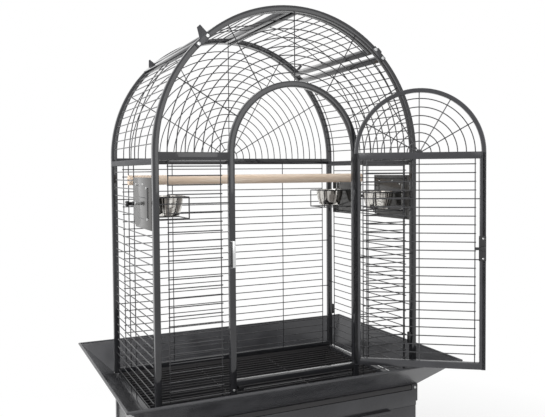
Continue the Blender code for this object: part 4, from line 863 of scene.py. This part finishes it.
# %% [markdown]
# ## Roof hinge brackets
# Four flat brackets are bolted over the seam between roof and flap. Each carries the pin that the
# flap turns on, and an ear that narrows from a root on the rim to its tip. The outline is drawn
# once as a face, extruded to sheet thickness and given a small bevel, and the bright bolt heads
# are pieces of their own.

# %% A plate cut to an outline
SHEET = 0.0025


def flat_plate(bm, corners, thickness, soft=0.0006):
    """A sheet cut to an outline: a face that is extruded and bevelled."""
    face = bm.faces.new([bm.verts.new(corner) for corner in corners])
    face.normal_update()
    end = push(bm, face, face.normal * thickness)
    edges = list(dict.fromkeys(
        edge for item in (face, end) for vert in item.verts for edge in vert.link_edges
    ))
    round_off(bm, edges, soft)


print("bracket sheet", SHEET, "m")

# %% Brackets and their bolts
BRACKET_RIM = 0.009
PIVOT, PIVOT_REACH = 0.003, 0.012
BRACKET_BOLT = (0.006, 0.0035)
# For each bracket: how far the ear stands out, and where its root and its tip begin and end.
EARS = {
    "front_left": (0.0375, (-0.0060, 0.0240), (-0.0045, 0.0085)),
    "front_right": (0.0135, (0.0020, 0.0230), (0.0040, 0.0210)),
    "back_left": (0.0275, (-0.0060, 0.0200), (-0.0030, 0.0020)),
    "back_right": (0.0520, (-0.0045, 0.0080), (-0.0045, 0.0045)),
}
for label, (ear, root, tip) in EARS.items():
    face_sign = -1 if label.startswith("front") else 1
    side = -1 if label.endswith("left") else 1
    pin, fixed = (polar(side, angle, MID_X, 0) for angle in (FLAP_EDGE, ROOF_EDGE))
    along = (fixed - pin).normalized()
    out = outward(side, (FLAP_EDGE + ROOF_EDGE) / 2)
    rim = out * BRACKET_RIM
    before, after = pin - along * BRACKET_RIM, fixed + along * BRACKET_RIM
    inner_y = face_sign * (HALF_Y + GAP)
    outline = [
        before - rim, after - rim, after + rim, pin + along * root[1] + rim,
        pin + along * tip[1] + out * ear, pin + along * tip[0] + out * ear,
        pin + along * root[0] + rim, before + rim,
    ]
    outline = [Vector((corner.x, inner_y, corner.z)) for corner in outline]
    if (outline[1] - outline[0]).cross(outline[2] - outline[1]).y * face_sign < 0:
        outline.reverse()
    bm = bmesh.new()
    flat_plate(bm, outline, SHEET)
    inside = face_sign * (IN_Y - PIVOT_REACH)
    wire(bm, (pin.x, inner_y, pin.z), (pin.x, inside, pin.z), PIVOT, 12)
    settle(bm, "flap_bracket_" + label, "cage", "charcoal_paint", ["flap_hinge_" + label])
    bm = bmesh.new()
    for point in (pin, fixed):
        place = (point.x, inner_y + face_sign * SHEET, point.z)
        bolt(bm, place, (0, face_sign, 0), *BRACKET_BOLT)
    settle(bm, "flap_bolts_" + label, "cage", "zinc_bolt")

# %% [markdown]
# ## Front door
# The door is an arched frame with its own wires. It is modelled shut, where every number is easy
# to read, and then turned about its hinge to stand open as in the photograph. Turning the mesh
# and not the object keeps the object itself at the origin.

# %% Door frame
DOOR_HALF = 0.2014
DOOR_Y = -0.2835
DOOR_BOTTOM = 0.5737
DOOR_RAIL_TOP = DOOR_BOTTOM + 0.0208
DOOR_BAR_LOW, DOOR_BAR_TOP = 1.2290, 1.2510
STILE, RING = 0.0185, 0.0133
KNUCKLE, LEAF_WIDE = 0.0036, 0.012
OPEN_ANGLE = 144.8
door_axis = Vector((DOOR_AXIS_X, DOOR_AXIS_Y, 0))
DOOR_OPEN = (
    Matrix.Translation(door_axis) @ Matrix.Rotation(math.radians(OPEN_ANGLE), 4, "Z")
    @ Matrix.Translation(-door_axis)
)
door_low_y, door_high_y = DOOR_Y - TUBE / 2, DOOR_Y + TUBE / 2

bm = bmesh.new()
hoop(bm, DOOR_HALF - RING, DOOR_HALF, door_low_y, door_high_y, DOOR_BOTTOM)
stile_x, ring_x = DOOR_HALF - STILE + WELD, DOOR_HALF - RING + WELD
twins(bm, DOOR_HALF - STILE, DOOR_HALF,
      (door_low_y, DOOR_BOTTOM), (door_high_y, DOOR_BAR_TOP - HAIR))
across(bm, stile_x, (door_low_y, DOOR_BOTTOM), (door_high_y, DOOR_RAIL_TOP))
across(bm, ring_x, (door_low_y, DOOR_BAR_LOW), (door_high_y, DOOR_BAR_TOP))
for z in HINGE_HEIGHTS:
    wire(bm, (*door_axis.xy, z + GAP), (*door_axis.xy, z + 0.022), KNUCKLE, 14)
    bar(bm, (DOOR_AXIS_X - LEAF_WIDE, DOOR_AXIS_Y - 0.0028, z + 0.0007),
        (DOOR_AXIS_X, DOOR_AXIS_Y + 0.0055, z + 0.0216), 0.001)
settle(bm, "door_frame_tubes", "door", "charcoal_paint", ["door_frame"], DOOR_OPEN)

# %% Door wires and fan
DOOR_COLUMNS = (-0.1690, 0.0, 0.1628)
DOOR_RING, HUB_INNER, HUB_OUTER, HUB_HALF = 0.0370, 0.0012, 0.0115, 0.003
bm = bmesh.new()
short_ends = (DOOR_COLUMNS[0] - WIRE, DOOR_COLUMNS[-1] + WIRE)
rows = rows_of(DOOR_ROWS, (-stile_x, stile_x), short_ends, count=23)
columns = [(x, DOOR_RAIL_TOP - WELD, DOOR_BAR_LOW + WELD) for x in DOOR_COLUMNS]
wall_of_wire(bm, rows, columns, lambda x, z, lift: (x, DOOR_Y - lift, z))
settle(bm, "door_wires", "door", "charcoal_wire", ["door_grille"], DOOR_OPEN)

bm = bmesh.new()
fan(bm, DOOR_RING, 6, DOOR_BAR_TOP, 0.0080, ring_x, DOOR_Y - LAYER, DOOR_Y + LAYER)
arc_tube(bm, HUB_INNER, HUB_OUTER, DOOR_Y - HUB_HALF, DOOR_Y + HUB_HALF, 14, 166)
settle(bm, "door_fan_wires", "door", "charcoal_wire", ["door_fan"], DOOR_OPEN)

# %% [markdown]
# ## Lock
# On the free side of the door sits a black lock plate with a turning lever, held by two small
# screws. The keeper on the left jamb is a bright plate with a dark strip along one half.

# %% Lock plate and latch
LOCK_Z, LOCK_Y = 0.9520, -0.2742
LOCK_HALF, LOCK_WIDE, LOCK_THICK = 0.03875, 0.022, 0.003
SCREW_RISE, LOCK_SCREW = 0.031, (0.0030, 0.0018)
LATCH_LONG, LATCH_HALF = 0.026, 0.0045
latch_x, latch_y = STILE / 2 - DOOR_HALF, LOCK_Y + LOCK_THICK + GAP
bm = bmesh.new()
bar(bm, (-DOOR_HALF, LOCK_Y, LOCK_Z - LOCK_HALF),
    (LOCK_WIDE - DOOR_HALF, LOCK_Y + LOCK_THICK, LOCK_Z + LOCK_HALF), 0.0012)
settle(bm, "lock_plate", "door", "black_plastic", ["door_lock"], DOOR_OPEN)

bm = bmesh.new()
for z in (LOCK_Z - SCREW_RISE, LOCK_Z + SCREW_RISE):
    bolt(bm, (latch_x, LOCK_Y + LOCK_THICK, z), (0, 1, 0), *LOCK_SCREW)
settle(bm, "lock_screws", "door", "zinc_bolt", (), DOOR_OPEN)

LATCH_PROFILE = [(0, 0.006), (0.0055, 0.006), (0.0072, 0.0052), (0.008, 0.0036), (0.008, 0), (0, 0)]
bm = bmesh.new()
turned(bm, LATCH_PROFILE, facing((latch_x, latch_y, LOCK_Z), (0, 1, 0)), 24)
bar(bm, (latch_x, latch_y + 0.001, LOCK_Z - LATCH_HALF),
    (latch_x + LATCH_LONG, latch_y + 0.005, LOCK_Z + LATCH_HALF), 0.0014)
settle(bm, "latch_lever", "latch", "black_plastic", ["door_latch"], DOOR_OPEN)

# %% Keeper on the left jamb
KEEPER_X, KEEPER_Z = -0.21365, 0.9490
KEEPER_HALF, KEEPER_RISE, STRIP_RISE = 0.00835, 0.040, 0.039
KEEPER_FRONT, KEEPER_BACK, STRIP_FRONT, STRIP_BACK = -0.2943, -0.2928, -0.2946, -0.2940
bm = bmesh.new()
bar(bm, (KEEPER_X - KEEPER_HALF, KEEPER_FRONT, KEEPER_Z - KEEPER_RISE),
    (KEEPER_X + KEEPER_HALF, KEEPER_BACK, KEEPER_Z + KEEPER_RISE), 0.0006)
settle(bm, "keeper_plate", "cage", "zinc_bolt", ["door_keeper"])
bm = bmesh.new()
bar(bm, (KEEPER_X - 0.0083, STRIP_FRONT, KEEPER_Z - STRIP_RISE),
    (KEEPER_X - 0.0012, STRIP_BACK, KEEPER_Z + STRIP_RISE), 0.0002)
settle(bm, "keeper_slot", "cage", "black_plastic")

# %% [markdown]
# ## Feeders
# Each feeder is a sheet plate that swings out and carries a wire basket with a steel bowl. A bowl
# is spun from sheet, so its profile has a rolled rim and a wall that curves in to the foot. The
# knob has a round black head with a bright cap, and turns on a bright neck.

# %% Places of the feeders
FEEDERS = {"left": (-1, -1), "right_front": (1, -1), "right_back": (1, 1)}
BASKET_X, BASKET_Y, BASKET_TOP = 0.38045, 0.1700, 1.1195
BASKET_HALF, BASKET_DEEP, BASKET_WIRE = 0.055, 0.064, 0.002
BOWL_RISE = 0.0023
KNOB_X, KNOB_Y, KNOB_Z = 0.44875, 0.0700, 1.0980
PLATE_IN, PLATE_OUT = 0.44685, 0.44845
PLATE_NEAR, PLATE_FAR = 0.0450, 0.2590
PLATE_LOW, PLATE_TOP = 1.0260, 1.1790
PLATE_CUT = 0.022
print("feeders:", ", ".join(FEEDERS))

# %% Profiles of bowl and knob
OUTER_WALL = [
    (0.0330, -0.0600), (0.0372, -0.0594), (0.0402, -0.0565), (0.0432, -0.0480), (0.0460, -0.0380),
    (0.0485, -0.0270), (0.0503, -0.0170), (0.0513, -0.0080), (0.0515, -0.0020),
]
RIM = [
    (0.0520, -0.0003), (0.0540, 0.0), (0.0562, 0.0), (0.0572, 0.0003), (0.0575, 0.0007),
    (0.0571, 0.0011), (0.0560, 0.0012), (0.0525, 0.0012), (0.0508, 0.0006),
]
inner_wall = [(radius - 0.0012, height + 0.0012) for radius, height in reversed(OUTER_WALL)]
FOOT = [(0, -0.0590), (0.0200, -0.0590), (0.0300, -0.0600)]
BOWL_PROFILE = [*FOOT, *OUTER_WALL, *RIM, *inner_wall, (0, -0.0578)]
KNOB_PROFILE = [
    (0, 0.0328), (0.0048, 0.0326), (0.0072, 0.0316), (0.0084, 0.0298), (0.0088, 0.0272),
    (0.0086, 0.0246), (0.0076, 0.0226), (0.0060, 0.0214), (0.0054, 0.0200), (0.0052, 0.0120),
    (0.0062, 0.0106), (0.0064, 0.0060), (0, 0.0060),
]
NECK_PROFILE = [
    (0, 0.0064), (0.0050, 0.0064), (0.0052, 0.0050), (0.0046, 0.0040), (0.0052, 0.0030),
    (0.0052, 0), (0, 0),
]
CAP_PROFILE = [
    (0, 0.0340), (0.0030, 0.0339), (0.0044, 0.0334), (0.0052, 0.0327), (0.0048, 0.0324),
    (0, 0.0324),
]
print("bowl profile has", len(BOWL_PROFILE), "points")

# %% Plate, basket and rod
ROD_Y, ROD_LOW, ROD_TOP = 0.2220, 1.060, 1.148


def feeder_plate(bm, side, end):
    """The sheet that closes the opening, with one corner cut off."""
    corners = [(PLATE_FAR, PLATE_TOP), (PLATE_FAR, PLATE_LOW), (PLATE_NEAR + PLATE_CUT, PLATE_LOW),
               (PLATE_NEAR, PLATE_LOW + PLATE_CUT), (PLATE_NEAR, PLATE_TOP)]
    corners = [Vector((side * PLATE_IN, end * y, z)) for y, z in corners]
    if (corners[1] - corners[0]).cross(corners[2] - corners[1]).x * side < 0:
        corners.reverse()
    flat_plate(bm, corners, PLATE_OUT - PLATE_IN, 0.0005)


def feeder_basket(bm, side, end):
    """Two square rings of wire joined by uprights, welded to the plate."""
    far, near = side * (BASKET_X - BASKET_HALF), side * (PLATE_IN + GAP)
    low_y, high_y = end * BASKET_Y - BASKET_HALF, end * BASKET_Y + BASKET_HALF
    foot = BASKET_TOP - BASKET_DEEP
    for z in (BASKET_TOP, foot):
        corners = [(near, low_y, z), (far, low_y, z), (far, high_y, z), (near, high_y, z)]
        bent_wire(bm, corners, BASKET_WIRE)
        wire(bm, (near, low_y, z), (near, high_y, z), BASKET_WIRE)
    for y in (low_y, high_y):
        wire(bm, (far, y, foot), (far, y, BASKET_TOP), BASKET_WIRE)


def feeder_rod(bm, side, end, face, out, radius):
    """A rod near the far edge of the plate, hooked into one of its faces."""
    y, foot, rod = end * ROD_Y, side * face, side * (face + out)
    points = [(foot, y, ROD_LOW), (rod, y, ROD_LOW), (rod, y, ROD_TOP), (foot, y, ROD_TOP)]
    bent_wire(bm, points, radius)


print("rod from", ROD_LOW, "to", ROD_TOP)

# %% Build the three feeders
PLATE_BOLTS = ((0.078, 1.157), (0.160, 1.158), (0.203, 1.1475), (0.210, 1.056))
BOLT_OUTSIDE, BOLT_INSIDE = (0.0042, 0.0024), (0.0034, 0.0020)
for name, (side, end) in FEEDERS.items():
    body = "feeder_" + name
    bm = bmesh.new()
    feeder_plate(bm, side, end)
    settle(bm, "feeder_plate_" + name, body, "grey_plate", ["feeder_door_" + name])
    bm = bmesh.new()
    feeder_basket(bm, side, end)
    settle(bm, "feeder_basket_" + name, body, "charcoal_wire")
    bm = bmesh.new()
    for y, z in PLATE_BOLTS:
        bolt(bm, (side * PLATE_OUT, end * y, z), (side, 0, 0), *BOLT_OUTSIDE)
        bolt(bm, (side * PLATE_IN, end * y, z), (-side, 0, 0), *BOLT_INSIDE)
    feeder_rod(bm, side, end, PLATE_IN + 0.0005, -0.0030, 0.0018)
    settle(bm, "feeder_bolts_" + name, body, "zinc_bolt")
    bm = bmesh.new()
    feeder_rod(bm, side, end, PLATE_OUT - 0.0005, 0.0027, 0.0013)
    settle(bm, "feeder_rod_" + name, body, "charcoal_wire")

    bm = bmesh.new()
    place = Matrix.Translation((side * BASKET_X, end * BASKET_Y, BASKET_TOP + BOWL_RISE))
    turned(bm, BOWL_PROFILE, place, 56)
    settle(bm, "steel_bowl_" + name, "feeder_bowl_" + name, "polished_steel", ["bowl_" + name],
           smooth=40)

    place = facing((side * KNOB_X, end * KNOB_Y, KNOB_Z), (side, 0, 0))
    bm = bmesh.new()
    turned(bm, KNOB_PROFILE, place, 28)
    settle(bm, "knob_grip_" + name, "knob_" + name, "black_plastic", ["feeder_knob_" + name])
    bm = bmesh.new()
    turned(bm, NECK_PROFILE, place, 20)
    turned(bm, CAP_PROFILE, place, 20)
    settle(bm, "knob_neck_" + name, "knob_" + name, "zinc_bolt")

# %% [markdown]
# ## Perch and corner clips
# The perch is a dowel with a slot sawn in each end, which drops over a wire. Its CAD shape is
# right, so a copy of that mesh is used: its loose triangles are merged, its ends are eased with a
# Bevel modifier, and it gets the wood. The black clips that hold the panels are treated the same.

# %% Ease the edges of a copy of a CAD piece
def eased_copy(node, name, body, slot, ease):
    """A merged copy of a CAD node with bevelled edges and a finish."""
    bm = bmesh.new()
    bm.from_mesh(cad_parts[node].data)
    bmesh.ops.remove_doubles(bm, verts=bm.verts, dist=0.00001)
    bmesh.ops.dissolve_limit(
        bm, angle_limit=math.radians(1), verts=bm.verts, edges=bm.edges,
        use_dissolve_boundaries=False,
    )
    bmesh.ops.translate(bm, vec=(0, -CAGE_BACK, 0), verts=bm.verts)
    piece = settle(bm, name, body, slot, [node], smooth=40)
    bevel = piece.modifiers.new("Ease", "BEVEL")
    bevel.width = ease
    bevel.segments = 2
    bevel.limit_method = "ANGLE"
    bevel.angle_limit = math.radians(40)


PERCH_EASE, CLIP_EASE = 0.0012, 0.0004
eased_copy("perch", "perch_dowel", "cage", "pale_wood", PERCH_EASE)
for node in ("clip_back", "clip_front"):
    eased_copy(node, node + "_moulding", "cage", "black_plastic", CLIP_EASE)

# %% [markdown]
# ## Seed skirt
# Four sloping sheets catch seed. Their outer edge is rolled into a hem, which is what shines as a
# line in the photograph. The sheets meet in mitres. Each is made from a flat quad: its corners
# are moved out by as much as they are far from the cage, which cuts the mitre, and then the
# sheet is thickened. The hem is a round bar treated the same way.

# %% Skirt sheets with rolled hems
SKIRT_OUT, SKIRT_RISE, SKIRT_SHEET, HEM = 0.1040, 0.0930, 0.0016, 0.0040


def mitre(bm, half, reach, turn):
    """Lays points of (end, out, height) along one side of the cage, mitred at both ends."""
    for vert in bm.verts:
        end, out, z = vert.co
        vert.co = (math.copysign(half + out - GAP, end), -reach - out, BASE_TOP + z)
    matrix = Matrix.Rotation(math.radians(turn), 3, "Z")
    bmesh.ops.rotate(bm, verts=bm.verts, cent=(0, 0, 0), matrix=matrix)


slope = math.atan2(SKIRT_RISE, SKIRT_OUT)
length = math.hypot(SKIRT_OUT, SKIRT_RISE) - HEM
foot_out, foot_rise = 0.0020, 0.0010
for name, half, reach, turn in (
    ("front", HALF_X, HALF_Y, 0), ("right", HALF_Y, HALF_X, 90),
    ("back", HALF_X, HALF_Y, 180), ("left", HALF_Y, HALF_X, 270),
):
    bm = bmesh.new()
    sheet = bmesh.ops.create_grid(bm, x_segments=1, y_segments=1, size=0.5)
    for vert in sheet["verts"]:
        along = vert.co.y + 0.5
        vert.co.y = foot_out + along * (math.cos(slope) * length - foot_out)
        vert.co.z = foot_rise + along * math.sin(slope) * length
    bmesh.ops.recalc_face_normals(bm, faces=bm.faces)
    bmesh.ops.solidify(bm, geom=bm.faces[:], thickness=SKIRT_SHEET)
    place = Matrix.Translation((0, SKIRT_OUT, SKIRT_RISE))
    bmesh.ops.create_cone(
        bm, cap_ends=True, segments=16, radius1=HEM, radius2=HEM, depth=2,
        matrix=place @ Matrix.Rotation(math.radians(90), 4, "Y"),
    )
    mitre(bm, half, reach, turn)
    settle(bm, "skirt_sheet_" + name, "cage", "charcoal_paint", ["skirt_" + name])

# %% [markdown]
# ## Base, grate and tray
# The cage stands on a low box. A grate of bars slides out of a slot in its front, and a tray for
# litter slides out below. Both are what an owner pulls out every day, so the tray has a rolled
# finger pull along its front plate.

# %% Base
BASE_X, BASE_Y = 0.4547, 0.2957
BASE_IN_X, BASE_IN_Y = 0.4307, 0.2717
BASE_LOW, SLOT_LOW = 0.4110, 0.4515
STAND_X = 0.4480
FASCIA_LOW, FASCIA_SHEET = 0.3975, 0.0024
BOX_EDGE = 0.0016

bm = bmesh.new()
fascia_y = -BASE_Y - HAIR
twins(bm, BASE_IN_X, BASE_X, (-BASE_Y, BASE_LOW), (BASE_Y, BASE_TOP), BOX_EDGE)
across(bm, BASE_IN_X + WELD, (-BASE_Y + GAP, BASE_LOW + GAP), (-BASE_IN_Y, SLOT_LOW), BOX_EDGE)
across(bm, STAND_X, (fascia_y, FASCIA_LOW), (fascia_y + FASCIA_SHEET, SLOT_LOW - 2 * GAP), 0.0008)
settle(bm, "base_box", "cage", "charcoal_paint", ["base"])

# %% Ledges and back of the base, in the shade of the cage
LEDGE = 0.012
bm = bmesh.new()
twins(bm, BASE_IN_X - LEDGE, BASE_IN_X + WELD,
      (-BASE_IN_Y - WELD, BASE_LOW + 2 * GAP), (BASE_IN_Y + WELD, SLOT_LOW - GAP), 0.001)
across(bm, BASE_IN_X + WELD, (BASE_IN_Y, BASE_LOW + GAP), (BASE_Y - GAP, BASE_TOP - GAP), BOX_EDGE)
# They get the darker coat, with the shade of the cage painted into its colour.
settle(bm, "base_ledges", "cage", "charcoal_paint", coat="painted_shade_coat")

# %% Screws of the base and the sill
BASE_SCREW_X, BASE_SCREW_Z, BASE_SCREW = 0.4429, 0.4590, (0.0046, 0.0026)
SILL_SCREW_PLACE, SILL_SCREW = (-0.2143, -HALF_Y, 0.5422), (0.0040, 0.0024)
BLOCK_LOW, BLOCK_HIGH = (-0.1990, -HALF_Y + 0.0010, 0.5400), (-0.1810, -IN_Y - 0.001, 0.5540)
bm = bmesh.new()
for _, side in SIDES:
    bolt(bm, (side * BASE_SCREW_X, -BASE_Y, BASE_SCREW_Z), (0, -1, 0), *BASE_SCREW)
bolt(bm, SILL_SCREW_PLACE, (0, -1, 0), *SILL_SCREW)
settle(bm, "front_screws", "cage", "zinc_bolt")
bm = bmesh.new()
bar(bm, BLOCK_LOW, BLOCK_HIGH, 0.0015)
settle(bm, "sill_block", "cage", "black_plastic")

# %% Grate
GRATE_LOW, GRATE_WIRE, GRATE_LIP = 0.45225, 0.0044, 0.016
grate_x, grate_front, grate_back = BASE_IN_X - 0.0015, GAP - BASE_Y, BASE_IN_Y - 0.0015
bm = bmesh.new()
across(bm, grate_x, (grate_front, GRATE_LOW), (grate_front + GRATE_LIP, BASE_TOP - 0.00075), 0.002)
first, last = grate_front + GRATE_LIP + WIRE_PITCH / 2, grate_back - GRATE_WIRE
count = round((last - first) / WIRE_PITCH)
for k in range(count + 1):
    y = first + (last - first) * k / count
    z = GRATE_LOW + 1.5 * GRATE_WIRE
    wire(bm, (-grate_x, y, z), (grate_x, y, z), GRATE_WIRE / 2)
for x in (GRATE_WIRE - grate_x, -grate_x / 3, grate_x / 3, grate_x - GRATE_WIRE):
    z = GRATE_LOW + 0.5 * GRATE_WIRE + GAP
    wire(bm, (x, grate_front + 0.012, z), (x, grate_back, z), GRATE_WIRE / 2)
# The grate gets the darker coat, with the shade inside the base painted into its colour.
settle(bm, "grate_bars", "sliding_grate", "charcoal_wire", ["grate"], coat="painted_shade_coat")

# %% A pan of sheet, for the tray and the shelf
PAN_SHEET = 0.0020


def pan(bm, half, front, back, low, top, front_sheet, soft):
    """A floor with a turned-up edge on all four sides."""
    across(bm, half, (front, low), (back, low + PAN_SHEET), 0.0006)
    twins(bm, half - PAN_SHEET, half, (front, low), (back, top), soft)
    across(bm, half, (back - PAN_SHEET, low), (back, top), soft)
    across(bm, half, (front, low), (front + front_sheet, top), soft)


print("pan of", PAN_SHEET, "m sheet")

# %% Tray
TRAY_LOW, TRAY_TOP, TRAY_FRONT_SHEET = 0.3450, 0.3945, 0.0028
TRAY_PLATE_X, TRAY_PLATE_LOW, TRAY_PLATE_TOP = 0.4465, 0.3350, 0.3972
PULL_X, PULL_LOW, PULL_TOP, PULL_OUT = 0.3420, 0.3853, 0.3968, 0.0095
tray_x, tray_front, tray_back = STAND_X - 0.028, -BASE_Y - GAP, HALF_Y - 0.028
plate_back = tray_front + TRAY_FRONT_SHEET
bm = bmesh.new()
pan(bm, tray_x, tray_front + 0.0020, tray_back, TRAY_LOW, TRAY_TOP, TRAY_FRONT_SHEET, 0.0006)
across(bm, TRAY_PLATE_X, (tray_front, TRAY_PLATE_LOW), (plate_back, TRAY_PLATE_TOP), 0.0010)
across(bm, PULL_X, (tray_front - PULL_OUT, PULL_LOW), (tray_front + 0.0014, PULL_TOP), 0.0034,
       steps=4)
settle(bm, "tray_pan", "sliding_tray", "charcoal_paint", ["tray"])

# %% [markdown]
# ## Stand
# Four square legs carry the base, with rails round the tray and a sheet shelf near the floor. The
# shelf is a shallow pan like the tray.

# %% Legs and rails
LEG, LEG_FOOT, LEG_INSET = 0.0250, 0.0855, 0.0025
STAND_TOP, RAIL_LOW, FRONT_RAIL_TOP = 0.4107, 0.3180, 0.3350
LEG_EDGE, RAIL_EDGE, RUNNER_EDGE = 0.0030, 0.0020, 0.0015
leg_in_x, leg_in_y = STAND_X - LEG, HALF_Y - LEG

bm = bmesh.new()
for low_y, high_y in ((-HALF_Y, -leg_in_y), (leg_in_y, HALF_Y)):
    twins(bm, leg_in_x, STAND_X, (low_y, LEG_FOOT), (high_y, STAND_TOP), LEG_EDGE)
rail_y, runner_y = HALF_Y - LEG / 2, HALF_Y - LEG / 3
twins(bm, leg_in_x + LEG_INSET, STAND_X - LEG_INSET,
      (-rail_y, RAIL_LOW), (rail_y, STAND_TOP - GAP), RAIL_EDGE)
twins(bm, leg_in_x - LEDGE, STAND_X - LEG / 2,
      (-runner_y, RAIL_LOW + 0.002), (runner_y, TRAY_LOW - 0.0015), RUNNER_EDGE)
rail_x, rail_in, rail_out = STAND_X - LEG / 2, leg_in_y + LEG_INSET, HALF_Y - LEG_INSET
across(bm, rail_x, (-rail_out, RAIL_LOW + 0.001), (-rail_in, FRONT_RAIL_TOP), RAIL_EDGE)
across(bm, rail_x, (rail_in, RAIL_LOW + 0.001), (rail_out, STAND_TOP - 2 * GAP), RAIL_EDGE)
settle(bm, "stand_tubes", "cage", "charcoal_paint", ["stand_frame"])

# %% Shelf
SHELF_LOW, SHELF_TOP, SHELF_GAP = 0.1280, 0.1500, 0.0005
bm = bmesh.new()
shelf_y = leg_in_y - SHELF_GAP
pan(bm, STAND_X - SHELF_GAP, -shelf_y, shelf_y, SHELF_LOW, SHELF_TOP, PAN_SHEET, 0.0008)
settle(bm, "shelf_pan", "cage", "charcoal_paint", ["stand_shelf"])

# %% [markdown]
# ## Castors
# A swivel castor has a pressed fork that trails behind its stem, so that it turns to follow. The
# wheel is a rubber tyre on a plastic hub. Both are turned profiles, made lying flat and then
# stood upright at the heading of their fork.

# %% Profiles of tyre and hub
def both_faces(half):
    """Closes half a profile with its mirror image."""
    return [*half, *((radius, -height) for radius, height in reversed(half)), half[0]]


TYRE = both_faces([
    (0.0230, 0.0094), (0.0262, 0.0100), (0.0290, 0.0096), (0.0308, 0.0082), (0.0318, 0.0058),
    (0.0321, 0.0020),
])
HUB = both_faces([
    (0.0042, 0.0098), (0.0085, 0.0098), (0.0095, 0.0070), (0.0190, 0.0055), (0.0215, 0.0088),
    (0.0236, 0.0090),
])
print("tyre profile has", len(TYRE), "points")

# %% Forks and wheels
WHEEL_R, TRAIL, FORK_EASE = 0.0321, 0.0220, 0.0006
CASTOR_X, CASTOR_Y = 0.4355, 0.2800
CASTORS = {
    "front_left": (-1, -1, 20), "front_right": (1, -1, 160),
    "back_left": (-1, 1, -35), "back_right": (1, 1, 200),
}
for name, (side, end, heading) in CASTORS.items():
    eased_copy("castor_fork_" + name, "castor_bracket_" + name, "castor_" + name,
               "black_plastic", FORK_EASE)
    stem = Matrix.Translation((side * CASTOR_X, end * CASTOR_Y, 0))
    turn = stem @ Matrix.Rotation(math.radians(heading), 4, "Z")
    wheel = turn @ Matrix.Translation((TRAIL, 0, WHEEL_R))
    place = wheel @ Matrix.Rotation(math.radians(90), 4, "X")
    bm = bmesh.new()
    turned(bm, TYRE, place, 48)
    settle(bm, "castor_tyre_" + name, "wheel_" + name, "grey_rubber", ["castor_wheel_" + name])
    bm = bmesh.new()
    turned(bm, HUB, place, 40)
    settle(bm, "castor_hub_" + name, "wheel_" + name, "black_plastic")

# %% [markdown]
# ## Check and finish
# Every CAD node is replaced by now, and any that is still shown is listed. The size of the dressed
# model is printed.

# %% Measure and finish
shown = [name for name, node in sorted(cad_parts.items()) if not node.hide_render]
print("CAD nodes still shown:", shown)

low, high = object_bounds()
print("visual box", [round(x, 4) for x in low], [round(x, 4) for x in high])
